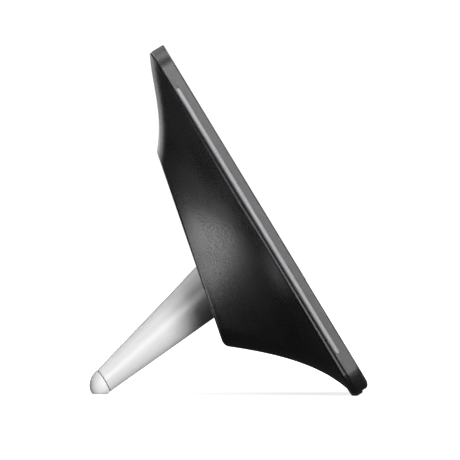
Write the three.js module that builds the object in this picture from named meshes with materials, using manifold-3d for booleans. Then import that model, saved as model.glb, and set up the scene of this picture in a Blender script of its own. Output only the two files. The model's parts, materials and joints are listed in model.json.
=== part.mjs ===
// Digital photo frame: a slim bezel with an eight-inch screen, a flared rear cover and a cone-shaped leg.
// Millimetres, +Z up, front towards -Y. The origin is on the table, under the middle of the outline.
//
// The head is drawn in its own frame, before it leans back: x runs across, y is the depth behind the
// front face and z is the height above the bottom edge. The flat of the rear cover, which carries the
// leg and the buttons, has a frame of its own: y is the height above the flat and z runs up it.

import * as THREE from "three";
import { mergeVertices } from "three/addons/utils/BufferGeometryUtils.js";
import Module from "manifold-3d";

const wasm = await Module();
wasm.setup();

// ---------------------------------------------------------------- driving sizes

const CLEARANCE = 0.3; // between pieces that touch or slide
const LEAN = THREE.MathUtils.degToRad(31.24); // of the front face, back from upright
const FULL_TURN = 2 * Math.PI;
const PAST = 1; // how far a cutting tool reaches past a face

// Bezel
const frameWidth = 215;
const frameHeight = 172;
const frameCorner = 10;
const bandDepth = 6.2;
const bandWall = 2.5;
const faceThickness = 2;
const faceBorder = 12.5;
const faceOpeningCorner = 2.5;
const edgeRound = 0.55; // round front edge at the top and sides
const lowerEdgeDepth = 2.2; // the lower front edge is an ellipse, so that it doesn't dig into the table
const lowerEdgeHeight = 3.2;

// Trim strips in the side walls of the bezel
const grooveBottom = 19;
const grooveTop = 153;
const grooveFront = 3.5;
const grooveWidth = 2;
const grooveDepth = 0.9;
const trimThickness = 0.4;

// Screen stack
const windowThickness = 1.2;
const windowMargin = 5; // from the outline of the frame to the edge of the window
const matThickness = 0.8;
const matBorder = 25.5; // from the outline of the frame to the picture
const sheetCorner = 3; // of the window, the mat and the backlight
const lcdThickness = 2.2;
const lcdInBacklight = 1.5; // from the edge of the backlight to the edge of the panel
const backlightThickness = 3.2;
const backlightRoom = 13.1; // from the outline of the frame, besides what the cover's wall takes up
const bracketRoomSide = 17.6;
const bracketRoomEnd = 19.6;
const bracketThickness = 1.2;
const bracketRail = 14;
const trayRim = 6; // of the backlight, round the shallow recess in its back
const trayRecess = 0.8;

// Rear cover
const coverWall = 2;
const wallSpread = 3.2; // the flare is shallow, so along the frame its wall takes up this many times more
const flareTop = 37.7; // from the top edge of the frame to the flat, along the frame
const flareBottom = 47.2;
const flareSide = 50;
const flatDepthTop = 26.4; // from the front face to the top edge of the flat
const flatDepthBottom = 45.3;
const flatCorner = 9;
const topPulls = [0.318, 6.4, 0.65, 11.5]; // of the flare's curve: share of its length, then depth, at each end
const bottomPulls = [0.339, 3.7, 0.63, 21.7];
const rimChamfer = 0.25;
const rimTop = 0.4; // straight wall behind the seam, at the top edge
const rimBottom = 1.6;
const topEdgeBlend = 0.6; // how far the edge of the flat is rounded on each side of its corner
const sideEdgeBlend = 1.4;
const bottomEdgeBlend = 2.6;
const tongueThickness = 1.2;
const tongueReach = 1.5; // how far the cover's tongue goes into the bezel

// Leg: a cone whose round sections lie nearly parallel to the front face
const socketHeight = 70.94; // of the leg's axis at the flat, above the bottom edge of the frame
const legDrop = 0.1695; // how far the leg's middle line falls for each millimetre of depth
const legSwing = 0.176; // how far it runs towards -X
const legBaseRadius = 11.25;
const legEndRadius = 5.5;
const legLength = 58; // in depth, from the flat to the seam of the rubber tip
const legWall = 1.8;
const legSolidBase = 13; // the leg is solid this far from the flat
const seamTilt = THREE.MathUtils.degToRad(8.5); // of the seam of the tip, towards the side
const tipLength = 6.8;
const tipProud = 0.1;
const tipPlugLength = 7;
const legSteps = 36;

// Socket of the leg: a bayonet that locks in the working position
const discRadius = 13.5;
const discThickness = 2.8;
const spigotRadius = 7;
const spigotDepth = 12.2;
const lugReach = 2.8;
const lugWidth = 5;
const lugTop = 8; // depth of the lugs below the flat
const lugThickness = 2.6;
const lugClearance = 0.4;
const unlockTurn = THREE.MathUtils.degToRad(60);
const socketRing = 1.4;
const socketFlange = 21;
const socketFlangeThickness = 2.2;
const socketPad = 4; // extra thickness of the rear cover round the socket
const socketCupRadius = 12.2;
const socketCupDepth = 15;
const springWidth = 2.4;
const springThickness = 0.3;
const springWave = 0.16;
const springWaves = 4;

// Feet
const footOffset = 78; // from the middle of the frame
const footLength = 22;
const footFront = 3.9;
const footBack = 7;
const footProud = 0.9;
const footWrapDepth = 9.1;
const footWrapHeight = 2;
const footTop = 0.7; // of the pad, inside the bezel
const footChamfer = 0.4;
const footLip = 0.6; // from the sole's back edge to the lip behind the rear cover's edge

// Buttons on the flat
const buttonRadius = 4;
const buttonSink = 0.2; // depth of the tops below the flat, so that nothing shows from the side
const buttonTravel = 0.4;
const buttonFlange = 1.1;
const buttonFlangeThickness = 0.8;
const keyLong = 12;
const keyShort = 5;
const keyPitch = 11; // from the middle button to the keys round it
const outerButtonPitch = 36;
const clusterAboveSocket = 41;
const switchSide = 4.5;
const switchHeight = 1.3;
const plungerRadius = 1.2;
const plungerHeight = 0.5;
const keyBoardThickness = 1.2;

// Electronics
const boardThickness = 1.6;
const boardDepth = 17; // from the front face to the front of the board
const boardHoleInset = 5;
const boardScrewSide = 37; // of the right-hand pair, from the middle
const boardPostRadius = 2.8;
const caseScrewSide = 50; // of the four long posts, from the middle
const caseScrewInset = 10.5; // from the top and bottom edges of the flat
const postRadius = 3.4;
const postBore = 1.8;
const bossRadius = 4.2;
const bossThickness = 2.2;
const screwHeadRadius = 2.7;
const screwHeadHeight = 1.8;
const screwSeat = 4; // depth of the screw heads below the flat

// Recess for the cables, in the side of the cover at +X
const recessWallAt = 66.5; // from the middle of the frame to the wall with the sockets
const recessFront = 16.6;
const recessBack = 26.6;
const recessBottom = 62;
const recessTop = 116;
const recessWall = 1.6;
const cardWidth = 24.4;
const cardSlotHeight = 2.4;
const cardBodyLength = 22;
const usbBodyLength = 9;
const usbHalfWidth = 3.85;
const jackBodyLength = 13;
const jackBore = 2.8;
const jackAxis = 3.2; // from the front of the jack to the middle of its bore
const powerAt = 68.5; // heights of the three sockets
const usbAt = 78;
const cardAt = 98;

// ---------------------------------------------------------------- materials

function finish(color, roughness, metalness = 0) {
  return new THREE.MeshStandardMaterial({ color, roughness, metalness });
}

const materials = {
  satinBlack: () => finish(0x232325, 0.42, 0.1),
  coverBlack: () => finish(0x1b1b1c, 0.55),
  softBlack: () => finish(0x101010, 0.85),
  glossBlack: () => finish(0x0c0c0d, 0.12),
  clear: () => finish(0xdfe6ea, 0.05),
  screen: () => finish(0x0b0e14, 0.1),
  trimGrey: () => finish(0xb4b4be, 0.4, 0.3),
  silver: () => finish(0xc9c9ca, 0.35, 0.7),
  whiteRubber: () => finish(0xe9e9e7, 0.7),
  steel: () => finish(0xa8aaac, 0.35, 0.9),
  sheetSteel: () => finish(0x9b9ea0, 0.45, 0.8),
  boardGreen: () => finish(0x1d5a38, 0.5),
  chip: () => finish(0x17181a, 0.5),
  ferrite: () => finish(0x3a3b3d, 0.7),
  copperTape: () => finish(0xc8a36a, 0.5),
  socketPlastic: () => finish(0x26272a, 0.5),
};

// ---------------------------------------------------------------- solids

function toSolid(geometry) {
  const bare = geometry.clone();
  bare.deleteAttribute("normal");
  bare.deleteAttribute("uv");
  const merged = mergeVertices(bare, 1e-4);
  return new wasm.Manifold(
    new wasm.Mesh({
      numProp: 3,
      vertProperties: merged.attributes.position.array,
      triVerts: new Uint32Array(merged.index.array),
    }),
  );
}

function fromSolid(solid) {
  const { vertProperties, triVerts } = solid.getMesh();
  const geometry = new THREE.BufferGeometry();
  geometry.setAttribute("position", new THREE.BufferAttribute(new Float32Array(vertProperties), 3));
  geometry.setIndex(new THREE.BufferAttribute(new Uint32Array(triVerts), 1));
  const faceted = geometry.toNonIndexed();
  faceted.computeVertexNormals();
  return faceted;
}

function join(first, ...others) {
  return fromSolid(others.reduce((sum, other) => sum.add(toSolid(other)), toSolid(first)));
}

function cut(first, ...tools) {
  return fromSolid(tools.reduce((rest, tool) => rest.subtract(toSolid(tool)), toSolid(first)));
}

function common(first, second) {
  return fromSolid(toSolid(first).intersect(toSolid(second)));
}

// ---------------------------------------------------------------- shapes

function box(x0, x1, y0, y1, z0, z1) {
  return new THREE.BoxGeometry(x1 - x0, y1 - y0, z1 - z0).translate(
    (x0 + x1) / 2,
    (y0 + y1) / 2,
    (z0 + z1) / 2,
  );
}

// A round bar along y.
function bar(radius, y0, y1, x = 0, z = 0, steps = 20) {
  return new THREE.CylinderGeometry(radius, radius, y1 - y0, steps).translate(x, (y0 + y1) / 2, z);
}

// A turned piece about y; the profile is a list of [radius, y] from the axis to the axis.
function turned(profile, steps = 32) {
  return new THREE.LatheGeometry(profile.map(([r, y]) => new THREE.Vector2(r, y)), steps);
}

// A rounded rectangle in x and z.
function roundedShape(width, height, corner, x = 0, z = 0) {
  const [left, right] = [x - width / 2, x + width / 2];
  const [low, high] = [z - height / 2, z + height / 2];
  const shape = new THREE.Shape();
  shape.moveTo(left + corner, low);
  shape.lineTo(right - corner, low);
  shape.absarc(right - corner, low + corner, corner, -Math.PI / 2, 0);
  shape.lineTo(right, high - corner);
  shape.absarc(right - corner, high - corner, corner, 0, Math.PI / 2);
  shape.lineTo(left + corner, high);
  shape.absarc(left + corner, high - corner, corner, Math.PI / 2, Math.PI);
  shape.lineTo(left, low + corner);
  shape.absarc(left + corner, low + corner, corner, Math.PI, 1.5 * Math.PI);
  return shape;
}

// A flat piece: a shape in x and z, from depth y0 to y1.
function plate(shape, y0, y1, curveSegments = 5) {
  const geometry = new THREE.ExtrudeGeometry(shape, {
    depth: y1 - y0,
    bevelEnabled: false,
    curveSegments,
  });
  return geometry.rotateX(Math.PI / 2).translate(0, y1, 0);
}

// A profile in y and z, drawn out along x.
function rail(points, x0, x1) {
  const shape = new THREE.Shape(points.map(([y, z]) => new THREE.Vector2(y, z)));
  const geometry = new THREE.ExtrudeGeometry(shape, { depth: x1 - x0, bevelEnabled: false });
  return geometry.applyMatrix4(
    new THREE.Matrix4().makeBasis(
      new THREE.Vector3(0, 1, 0),
      new THREE.Vector3(0, 0, 1),
      new THREE.Vector3(1, 0, 0),
    ),
  ).translate(x0, 0, 0);
}

// A closed body through rings of points, which run anticlockwise seen from the front.
function loft(rings) {
  const count = rings[0].length;
  const positions = rings.flat().flatMap((p) => [p.x, p.y, p.z]);
  const faces = [];
  for (let k = 0; k + 1 < rings.length; k++) {
    for (let i = 0; i < count; i++) {
      const next = (i + 1) % count;
      const [a, b] = [k * count + i, (k + 1) * count + i];
      const [c, d] = [(k + 1) * count + next, k * count + next];
      faces.push(a, b, c, a, c, d);
    }
  }
  for (const [ring, start, front] of [
    [rings[0], 0, true],
    [rings.at(-1), (rings.length - 1) * count, false],
  ]) {
    const middle = ring.reduce((sum, p) => sum.add(p), new THREE.Vector3()).divideScalar(count);
    const centre = positions.length / 3;
    positions.push(middle.x, middle.y, middle.z);
    for (let i = 0; i < count; i++) {
      const [p, q] = [start + i, start + ((i + 1) % count)];
      faces.push(centre, ...(front ? [p, q] : [q, p]));
    }
  }
  const geometry = new THREE.BufferGeometry();
  geometry.setAttribute("position", new THREE.Float32BufferAttribute(positions, 3));
  geometry.setIndex(faces);
  return geometry;
}

// One outline of the head: the frame's rectangle moved in by a distance on each side, with round
// corners. Its depth changes evenly from the bottom to the top.
function headOutline({ side, top, bottom, corner, depthTop, depthBottom }, steps = 5) {
  const right = frameWidth / 2 - side - corner;
  const low = bottom + corner;
  const high = frameHeight - top - corner;
  const centres = [
    [right, high],
    [-right, high],
    [-right, low],
    [right, low],
  ];
  const points = [];
  centres.forEach(([x, z], quarter) => {
    for (let step = 0; step <= steps; step++) {
      const angle = ((quarter + step / steps) * Math.PI) / 2;
      const height = z + corner * Math.sin(angle);
      const share = (height - bottom) / (frameHeight - top - bottom);
      const depth = depthBottom + share * (depthTop - depthBottom);
      points.push(new THREE.Vector3(x + corner * Math.cos(angle), depth, height));
    }
  });
  return points;
}

function evenOutline(inset, depth, corner, bottom = inset) {
  return headOutline({
    side: inset,
    top: inset,
    bottom,
    corner,
    depthTop: depth,
    depthBottom: depth,
  });
}

// ---------------------------------------------------------------- places worked out from the sizes

const middle = frameHeight / 2;
const backlightMargin = backlightRoom + wallSpread * coverWall;
const lcdMargin = backlightMargin + lcdInBacklight;
const bracketMarginSide = bracketRoomSide + wallSpread * coverWall;
const bracketMarginEnd = bracketRoomEnd + wallSpread * coverWall;
const seamBack = bandDepth + CLEARANCE; // front of the rear cover
const windowFront = faceThickness + CLEARANCE;
const matFront = windowFront + windowThickness + CLEARANCE;
const lcdFront = matFront + matThickness + CLEARANCE;
const backlightFront = lcdFront + lcdThickness + CLEARANCE;
const bracketFront = backlightFront + backlightThickness + CLEARANCE;
const bracketBack = bracketFront + bracketThickness;
const boardBack = boardDepth + boardThickness;
const partsFront = boardBack + CLEARANCE;

// The flat of the rear cover.
const flatTop = frameHeight - flareTop;
const flatBottom = flareBottom;
const flatSlope = (flatDepthBottom - flatDepthTop) / (flatTop - flatBottom);
const flatTilt = Math.atan(flatSlope);
const flatMiddle = (flatTop + flatBottom) / 2;
const flatHalfWidth = frameWidth / 2 - flareSide;
const flatDepthAt = (z) => flatDepthTop + (flatTop - z) * flatSlope;
const flatMatrix = new THREE.Matrix4()
  .makeTranslation(0, flatDepthAt(flatMiddle), flatMiddle)
  .multiply(new THREE.Matrix4().makeRotationX(flatTilt));
const onFlat = (geometry) => geometry.applyMatrix4(flatMatrix);
const alongFlat = (z) => (z - flatMiddle) / Math.cos(flatTilt);

const socketAt = alongFlat(socketHeight);
const socketDepth = flatDepthAt(socketHeight);
const clusterAt = socketAt + clusterAboveSocket;
const seamDepth = socketDepth + legLength;

// The head stands on the lower corner of its feet.
const headLift = footBack * Math.sin(LEAN) + footProud * Math.cos(LEAN);
const headMatrix = new THREE.Matrix4()
  .makeTranslation(0, 0, headLift)
  .multiply(new THREE.Matrix4().makeRotationX(-LEAN));

// ---------------------------------------------------------------- scene graph

const photoFrame = new THREE.Group();
const head = new THREE.Group();
head.applyMatrix4(headMatrix);
photoFrame.add(head);
const flat = new THREE.Group();
flat.applyMatrix4(flatMatrix);
head.add(flat);
const socket = new THREE.Group();
socket.position.z = socketAt;
flat.add(socket);

function add(group, name, geometry, material) {
  const mesh = new THREE.Mesh(geometry, materials[material]());
  mesh.name = name;
  group.add(mesh);
  return mesh;
}

const sides = [
  ["left", -1],
  ["right", 1],
];

// ---------------------------------------------------------------- feet, needed by the casings

// The part of the sole that meets the table ends here.
const footSoleEnd = footWrapDepth - 0.2;

// Depth and height round a foot: a shallow pad under the bezel, with a sole that lies flat on the table
// and a lip behind the lower edge of the rear cover.
const footProfile = [
  [footFront, footTop],
  [footFront, footChamfer - footProud],
  [footFront + footChamfer, -footProud],
  [footBack, -footProud],
  [footSoleEnd, (footSoleEnd - footBack) * Math.tan(LEAN) - footProud],
  [footWrapDepth, footWrapHeight],
  [footBack + footLip, footWrapHeight],
  [footBack + footLip, footTop],
];

function footPocket(direction) {
  const centre = direction * footOffset;
  const half = footLength / 2 + CLEARANCE;
  const [front, back] = [footFront - CLEARANCE, footBack + footLip - CLEARANCE];
  const behind = footWrapDepth + 2 * PAST;
  const pocket = [
    [front, footTop + CLEARANCE],
    [front, -footProud],
    [behind, -footProud],
    [behind, footWrapHeight + CLEARANCE],
    [back, footWrapHeight + CLEARANCE],
    [back, footTop + CLEARANCE],
  ];
  return rail(pocket, centre - half, centre + half);
}

function addFeet() {
  for (const [side, direction] of sides) {
    const centre = direction * footOffset;
    const foot = rail(footProfile, centre - footLength / 2, centre + footLength / 2);
    add(head, `foot_${side}`, foot, "softBlack");
  }
}

// ---------------------------------------------------------------- bezel and trim

// A slot along a side wall, with round ends; the strip in it is the same shape, less a gap all round.
function trimStadium(gap, x0, x1, steps = 5) {
  const radius = grooveWidth / 2 - gap;
  const centre = grooveFront + grooveWidth / 2;
  const ends = [
    [grooveTop - grooveWidth / 2, 0],
    [grooveBottom + grooveWidth / 2, Math.PI],
  ];
  const points = ends.flatMap(([height, start]) =>
    Array.from({ length: steps + 1 }, (_, step) => {
      const angle = start + (step / steps) * Math.PI;
      return [centre + radius * Math.cos(angle), height + radius * Math.sin(angle)];
    }),
  );
  return rail(points, x0, x1);
}

function bezelOutline(depth) {
  const shortfall = Math.max(0, 1 - depth / edgeRound);
  const lowShortfall = Math.max(0, 1 - depth / lowerEdgeDepth);
  const inset = edgeRound * (1 - Math.sqrt(1 - shortfall ** 2));
  const bottom = lowerEdgeHeight * (1 - Math.sqrt(1 - lowShortfall ** 2));
  return evenOutline(inset, depth, frameCorner - inset, bottom);
}

function addBezel() {
  const depths = [0, 0.08, 0.25, edgeRound, 0.9, 1.4, lowerEdgeDepth, bandDepth];
  const body = loft(depths.map(bezelOutline));
  const openingWidth = frameWidth - 2 * faceBorder;
  const openingHeight = frameHeight - 2 * faceBorder;
  const opening = roundedShape(openingWidth, openingHeight, faceOpeningCorner, 0, middle);
  const pocket = roundedShape(
    frameWidth - 2 * bandWall,
    frameHeight - 2 * bandWall,
    frameCorner - bandWall,
    0,
    middle,
  );
  const face = frameWidth / 2;
  const bezel = cut(
    body,
    plate(opening, -PAST, bandDepth),
    plate(pocket, faceThickness, bandDepth + PAST),
    trimStadium(0, face - grooveDepth, face + PAST),
    trimStadium(0, -face - PAST, -face + grooveDepth),
    footPocket(-1),
    footPocket(1),
  );
  add(head, "front_bezel", bezel, "satinBlack");
}

function addTrim() {
  const gap = 0.2;
  const inner = frameWidth / 2 - grooveDepth + gap;
  const outer = inner + trimThickness;
  add(head, "trim_strip_left", trimStadium(gap, -outer, -inner), "trimGrey");
  add(head, "trim_strip_right", trimStadium(gap, inner, outer), "trimGrey");
}

// ---------------------------------------------------------------- screen

function sheet(margin, corner, y0, y1) {
  const shape = roundedShape(frameWidth - 2 * margin, frameHeight - 2 * margin, corner, 0, middle);
  return plate(shape, y0, y1, 3);
}

function addScreen() {
  const windowBack = windowFront + windowThickness;
  add(head, "front_window", sheet(windowMargin, sheetCorner, windowFront, windowBack), "clear");

  const mat = cut(
    sheet(windowMargin, sheetCorner, matFront, matFront + matThickness),
    sheet(matBorder, 0.6, matFront - PAST, matFront + matThickness + PAST),
  );
  add(head, "picture_mat", mat, "glossBlack");
  add(head, "lcd_panel", sheet(lcdMargin, 0.8, lcdFront, lcdFront + lcdThickness), "screen");

  const backlightBack = backlightFront + backlightThickness;
  const tray = cut(
    sheet(backlightMargin, sheetCorner, backlightFront, backlightBack),
    sheet(backlightMargin + trayRim, 1.2, backlightBack - trayRecess, backlightBack + PAST),
  );
  add(head, "backlight_unit", tray, "sheetSteel");
}

// ---------------------------------------------------------------- bracket and main board

const caseScrews = [
  [-caseScrewSide, flatTop - caseScrewInset],
  [caseScrewSide, flatTop - caseScrewInset],
  [-caseScrewSide, flatBottom + caseScrewInset],
  [caseScrewSide, flatBottom + caseScrewInset],
];
const seatDepth = (z) => flatDepthAt(z) - screwSeat;
const bossFront = (z) => seatDepth(z) - bossThickness;

const boardLeft = -caseScrewSide + postRadius + 0.6;
const boardRight = recessWallAt - recessWall - 1.6;
const boardBottom = flatBottom + caseScrewInset + postRadius + 1;
const boardTop = flatTop - caseScrewInset - postRadius - 3;
const boardScrews = [boardLeft + boardHoleInset, boardScrewSide].flatMap((x) => [
  [x, boardBottom + boardHoleInset - 1],
  [x, boardTop - boardHoleInset],
]);

function addBracket() {
  const width = frameWidth - 2 * bracketMarginSide;
  const height = frameHeight - 2 * bracketMarginEnd;
  const panel = plate(roundedShape(width, height, 3, 0, middle), bracketFront, bracketBack, 2);
  const holeWidth = (width - 3 * bracketRail) / 2;
  const holeHeight = height - 2 * bracketRail;
  const holes = [-1, 1].map((direction) => {
    const x = (direction * (holeWidth + bracketRail)) / 2;
    const shape = roundedShape(holeWidth, holeHeight, 4, x, middle);
    return plate(shape, bracketFront - PAST, bracketBack + PAST, 2);
  });
  const railEnd = width / 2 - 2;
  const crossRail = (z) => box(-railEnd, railEnd, bracketFront, bracketBack, z - 5, z + 5);
  const postFoot = bracketBack - 0.4; // the posts start inside the sheet
  const rails = [...new Set([...caseScrews, ...boardScrews].map(([, z]) => z))].map(crossRail);
  const casePosts = caseScrews.map(([x, z]) =>
    bar(postRadius, postFoot, bossFront(z) - CLEARANCE, x, z, 14),
  );
  const boardPosts = boardScrews.map(([x, z]) =>
    bar(boardPostRadius, postFoot, boardDepth - CLEARANCE, x, z, 12),
  );
  const boreDepth = 12;
  const caseBores = caseScrews.map(([x, z]) =>
    bar(postBore, seatDepth(z) - boreDepth, seatDepth(z), x, z, 12),
  );
  const boardBores = boardScrews.map(([x, z]) => bar(1.3, bracketBack, boardDepth, x, z, 12));
  const bracket = cut(
    join(cut(panel, ...holes), ...rails, ...casePosts, ...boardPosts),
    ...caseBores,
    ...boardBores,
  );
  add(head, "screen_bracket", bracket, "sheetSteel");
}

// A screw along y: its head starts at 0 and its shank hangs below.
function screwGeometry(headRadius, headHeight, shankRadius, shankLength, steps = 12) {
  return turned(
    [
      [0, -shankLength],
      [shankRadius, -shankLength],
      [shankRadius, 0],
      [headRadius, 0],
      [headRadius, headHeight],
      [0, headHeight],
    ],
    steps,
  );
}

function addBoard() {
  const [width, height] = [boardRight - boardLeft, boardTop - boardBottom];
  const [x, z] = [(boardLeft + boardRight) / 2, (boardTop + boardBottom) / 2];
  const board = cut(
    plate(roundedShape(width, height, 1.5, x, z), boardDepth, boardBack, 2),
    ...boardScrews.map(([sx, sz]) => bar(1.5, boardDepth - PAST, boardBack + PAST, sx, sz, 12)),
  );
  add(head, "main_board", board, "boardGreen");

  const chip = (side, tall, thickness, cx, cz) =>
    box(cx - side / 2, cx + side / 2, partsFront, partsFront + thickness, cz - tall / 2, cz + tall / 2);
  add(head, "processor", chip(18, 18, 1.6, -6, z + 8), "chip");
  add(head, "memory_chip_1", chip(10, 18, 1.1, 14, z + 8), "chip");
  add(head, "memory_chip_2", chip(10, 18, 1.1, 28, z + 8), "chip");
  const inductor = plate(roundedShape(8, 8, 2, 24, boardBottom + 10), partsFront, partsFront + 4);
  add(head, "power_inductor", inductor, "ferrite");
  [0, 1].forEach((i) => {
    const can = bar(3, partsFront, partsFront + 5.4, -37 + 8 * i, boardTop - 14, 20);
    add(head, `capacitor_${i + 1}`, can, "steel");
  });

  const cellX = -28;
  const cellZ = boardBottom + 15;
  const holder = cut(
    bar(12, partsFront, partsFront + 4.6, cellX, cellZ, 32),
    bar(10.4, partsFront + 0.8, partsFront + 5, cellX, cellZ, 32),
    box(cellX - 4, cellX + 4, partsFront + 1.6, partsFront + 5, cellZ - 13, cellZ + 13),
  );
  add(head, "cell_holder", holder, "socketPlastic");
  const cell = bar(10, partsFront + 0.8 + CLEARANCE, partsFront + 4.3, cellX, cellZ, 32);
  add(head, "coin_cell", cell, "steel");

  boardScrews.forEach(([sx, sz], i) => {
    const screw = screwGeometry(2.2, 1.3, 1, 4.4).translate(sx, partsFront, sz);
    add(head, `board_screw_${i + 1}`, screw, "steel");
  });
}

function addDisplayCable() {
  const half = 13;
  const thickness = 0.25;
  const connectorTop = boardTop - 6;
  const connectorBottom = connectorTop - 4.5;
  const connectorX = 6;
  const connector = cut(
    box(connectorX - 16, connectorX + 16, partsFront, partsFront + 2, connectorBottom, connectorTop),
    box(
      connectorX - half - 0.5,
      connectorX + half + 0.5,
      partsFront + 0.6,
      partsFront + 1.5,
      connectorTop - 3,
      connectorTop + 1,
    ),
  );
  add(head, "display_connector", connector, "socketPlastic");

  const backlightBack = backlightFront + backlightThickness;
  const connectorDepth = partsFront + 1.05;
  const bracketTop = frameHeight - bracketMarginEnd;
  const behindBracket = bracketBack + 0.5;
  const route = [
    [backlightBack + 0.35, bracketTop + 6.5],
    [backlightBack + 0.5, bracketTop + 4],
    [behindBracket, bracketTop + 0.2],
    [behindBracket, bracketTop - 8],
    [behindBracket + 0.4, boardTop + 10],
    [boardBack - 1, boardTop + 3.2],
    [connectorDepth + 0.35, boardTop + 0.5],
    [connectorDepth, connectorTop - 2.4],
  ];
  const line = new THREE.CatmullRomCurve3(
    route.map(([y, z]) => new THREE.Vector3(connectorX, y, z)),
  );
  const steps = 24;
  const rings = [];
  for (let step = 0; step <= steps; step++) {
    const at = line.getPointAt(step / steps);
    const along = line.getTangentAt(step / steps);
    const across = new THREE.Vector3(0, along.z, -along.y).multiplyScalar(thickness / 2);
    const corner = (side, face) =>
      at.clone().addScaledVector(across, face).add(new THREE.Vector3(side * half, 0, 0));
    rings.push([corner(-1, 1), corner(1, 1), corner(1, -1), corner(-1, -1)]);
  }
  const ribbon = loft(rings);
  add(head, "display_cable", ribbon, "copperTape");
}

// ---------------------------------------------------------------- sockets in the cable recess

function addSockets() {
  const face = recessWallAt - recessWall - CLEARANCE;
  const [front, back] = [partsFront, partsFront + 3.2];
  const cardBody = box(face - cardBodyLength, face, front, back, cardAt - 14, cardAt + 14);
  const cardMouth = box(
    face - cardBodyLength + 4,
    face + PAST,
    front + 0.4,
    front + 0.4 + cardSlotHeight,
    cardAt - cardWidth / 2,
    cardAt + cardWidth / 2,
  );
  add(head, "card_slot", cut(cardBody, cardMouth), "steel");

  const usbBox = (x0, x1, y0, y1, half) =>
    box(face + x0, face + x1, front + y0, front + y1, usbAt - half, usbAt + half);
  const usbBody = usbBox(-usbBodyLength, 0, 0, 4, usbHalfWidth);
  const usbMouth = usbBox(2 - usbBodyLength, PAST, 0.5, 3.5, usbHalfWidth - 0.55);
  const usbTongue = usbBox(1 - usbBodyLength, -1.5, 1.6, 2.4, usbHalfWidth - 1.45);
  add(head, "usb_socket", join(cut(usbBody, usbMouth), usbTongue), "steel");

  const along = (radius, x0, x1) =>
    new THREE.CylinderGeometry(radius, radius, x1 - x0, 24)
      .rotateZ(Math.PI / 2)
      .translate((x0 + x1) / 2, front + jackAxis, powerAt);
  const jackBody = box(face - jackBodyLength, face, front, front + 2 * jackAxis, powerAt - 4, powerAt + 4);
  const boreEnd = face - jackBodyLength + 4;
  const jack = join(
    cut(jackBody, along(jackBore, boreEnd, face + PAST)),
    along(0.7, boreEnd - 1, face - 0.8),
  );
  add(head, "power_jack", jack, "socketPlastic");
}

// ---------------------------------------------------------------- rear cover

// The flare on one side: from the edge of the frame, inset 0, to the edge of the flat.
function flareCurve(start, inset, depth, [firstShare, firstRise, lastShare, lastDrop]) {
  return new THREE.CubicBezierCurve(
    new THREE.Vector2(0, start),
    new THREE.Vector2(firstShare * inset, start + firstRise),
    new THREE.Vector2(lastShare * inset, depth - lastDrop),
    new THREE.Vector2(inset, depth),
  );
}

const topStart = seamBack + rimTop;
const bottomStart = seamBack + rimBottom;
const topFlare = flareCurve(topStart, flareTop, flatDepthTop, topPulls);
const bottomFlare = flareCurve(bottomStart, flareBottom, flatDepthBottom, bottomPulls);
const sideScale = (2 * flareSide) / (flareTop + flareBottom); // side inset for the mean of the other two
const flatRun = new THREE.Vector2(1, -flatSlope).normalize(); // up the flat, from its lower edge
const flatRunDown = new THREE.Vector2(1, flatSlope).normalize();

// The outer line of one side, as [inset, depth]: the flare, then a blend round the edge of the flat.
function sideLine(curve, run, blend, flareSteps, blendSteps) {
  const length = curve.getLength();
  const points = [];
  for (let step = 1; step <= flareSteps; step++) {
    points.push(curve.getPointAt((step / flareSteps) * (1 - blend / length)));
  }
  const corner = curve.getPoint(1);
  const arc = new THREE.QuadraticBezierCurve(
    points.at(-1),
    corner,
    corner.clone().addScaledVector(run, blend),
  );
  for (let step = 1; step <= blendSteps; step++) points.push(arc.getPoint(step / blendSteps));
  return points;
}

function coverRings() {
  const [flareSteps, blendSteps] = [11, 3];
  const topLine = sideLine(topFlare, flatRunDown, topEdgeBlend, flareSteps, blendSteps);
  const bottomLine = sideLine(bottomFlare, flatRun, bottomEdgeBlend, flareSteps, blendSteps);
  const rings = [
    evenOutline(rimChamfer, seamBack, frameCorner - rimChamfer),
    evenOutline(0, seamBack + rimChamfer, frameCorner),
    headOutline({
      side: 0,
      top: 0,
      bottom: 0,
      corner: frameCorner,
      depthTop: topStart,
      depthBottom: bottomStart,
    }),
  ];
  topLine.forEach((top, k) => {
    const bottom = bottomLine[k];
    const share = Math.min(1, (k + 1) / flareSteps);
    rings.push(
      headOutline({
        side: Math.min(flareSide + sideEdgeBlend, ((top.x + bottom.x) / 2) * sideScale),
        top: top.x,
        bottom: bottom.x,
        corner: frameCorner + share * (flatCorner - frameCorner),
        depthTop: top.y,
        depthBottom: bottom.y,
      }),
    );
  });
  return rings;
}

// The hollow: each side line moved inwards by the wall, up to the inside of the flat.
function innerLine(curve, run, steps) {
  const points = [];
  for (let step = 0; step <= steps; step++) {
    const at = curve.getPointAt(step / steps);
    const along = curve.getTangentAt(step / steps);
    points.push(new THREE.Vector2(at.x + coverWall * along.y, at.y - coverWall * along.x));
  }
  const inward = new THREE.Vector2(-run.y, run.x).multiplyScalar(-coverWall);
  const corner = curve.getPoint(1).add(inward);
  const heightAboveFlat = (p) => (p.y - corner.y) * run.x - (p.x - corner.x) * run.y;
  const kept = points.filter((p) => heightAboveFlat(p) < -0.5);
  const [last, next] = [kept.at(-1), points[kept.length]];
  const share = heightAboveFlat(last) / (heightAboveFlat(last) - heightAboveFlat(next));
  return { kept, corner: last.clone().lerp(next, share) };
}

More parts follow.
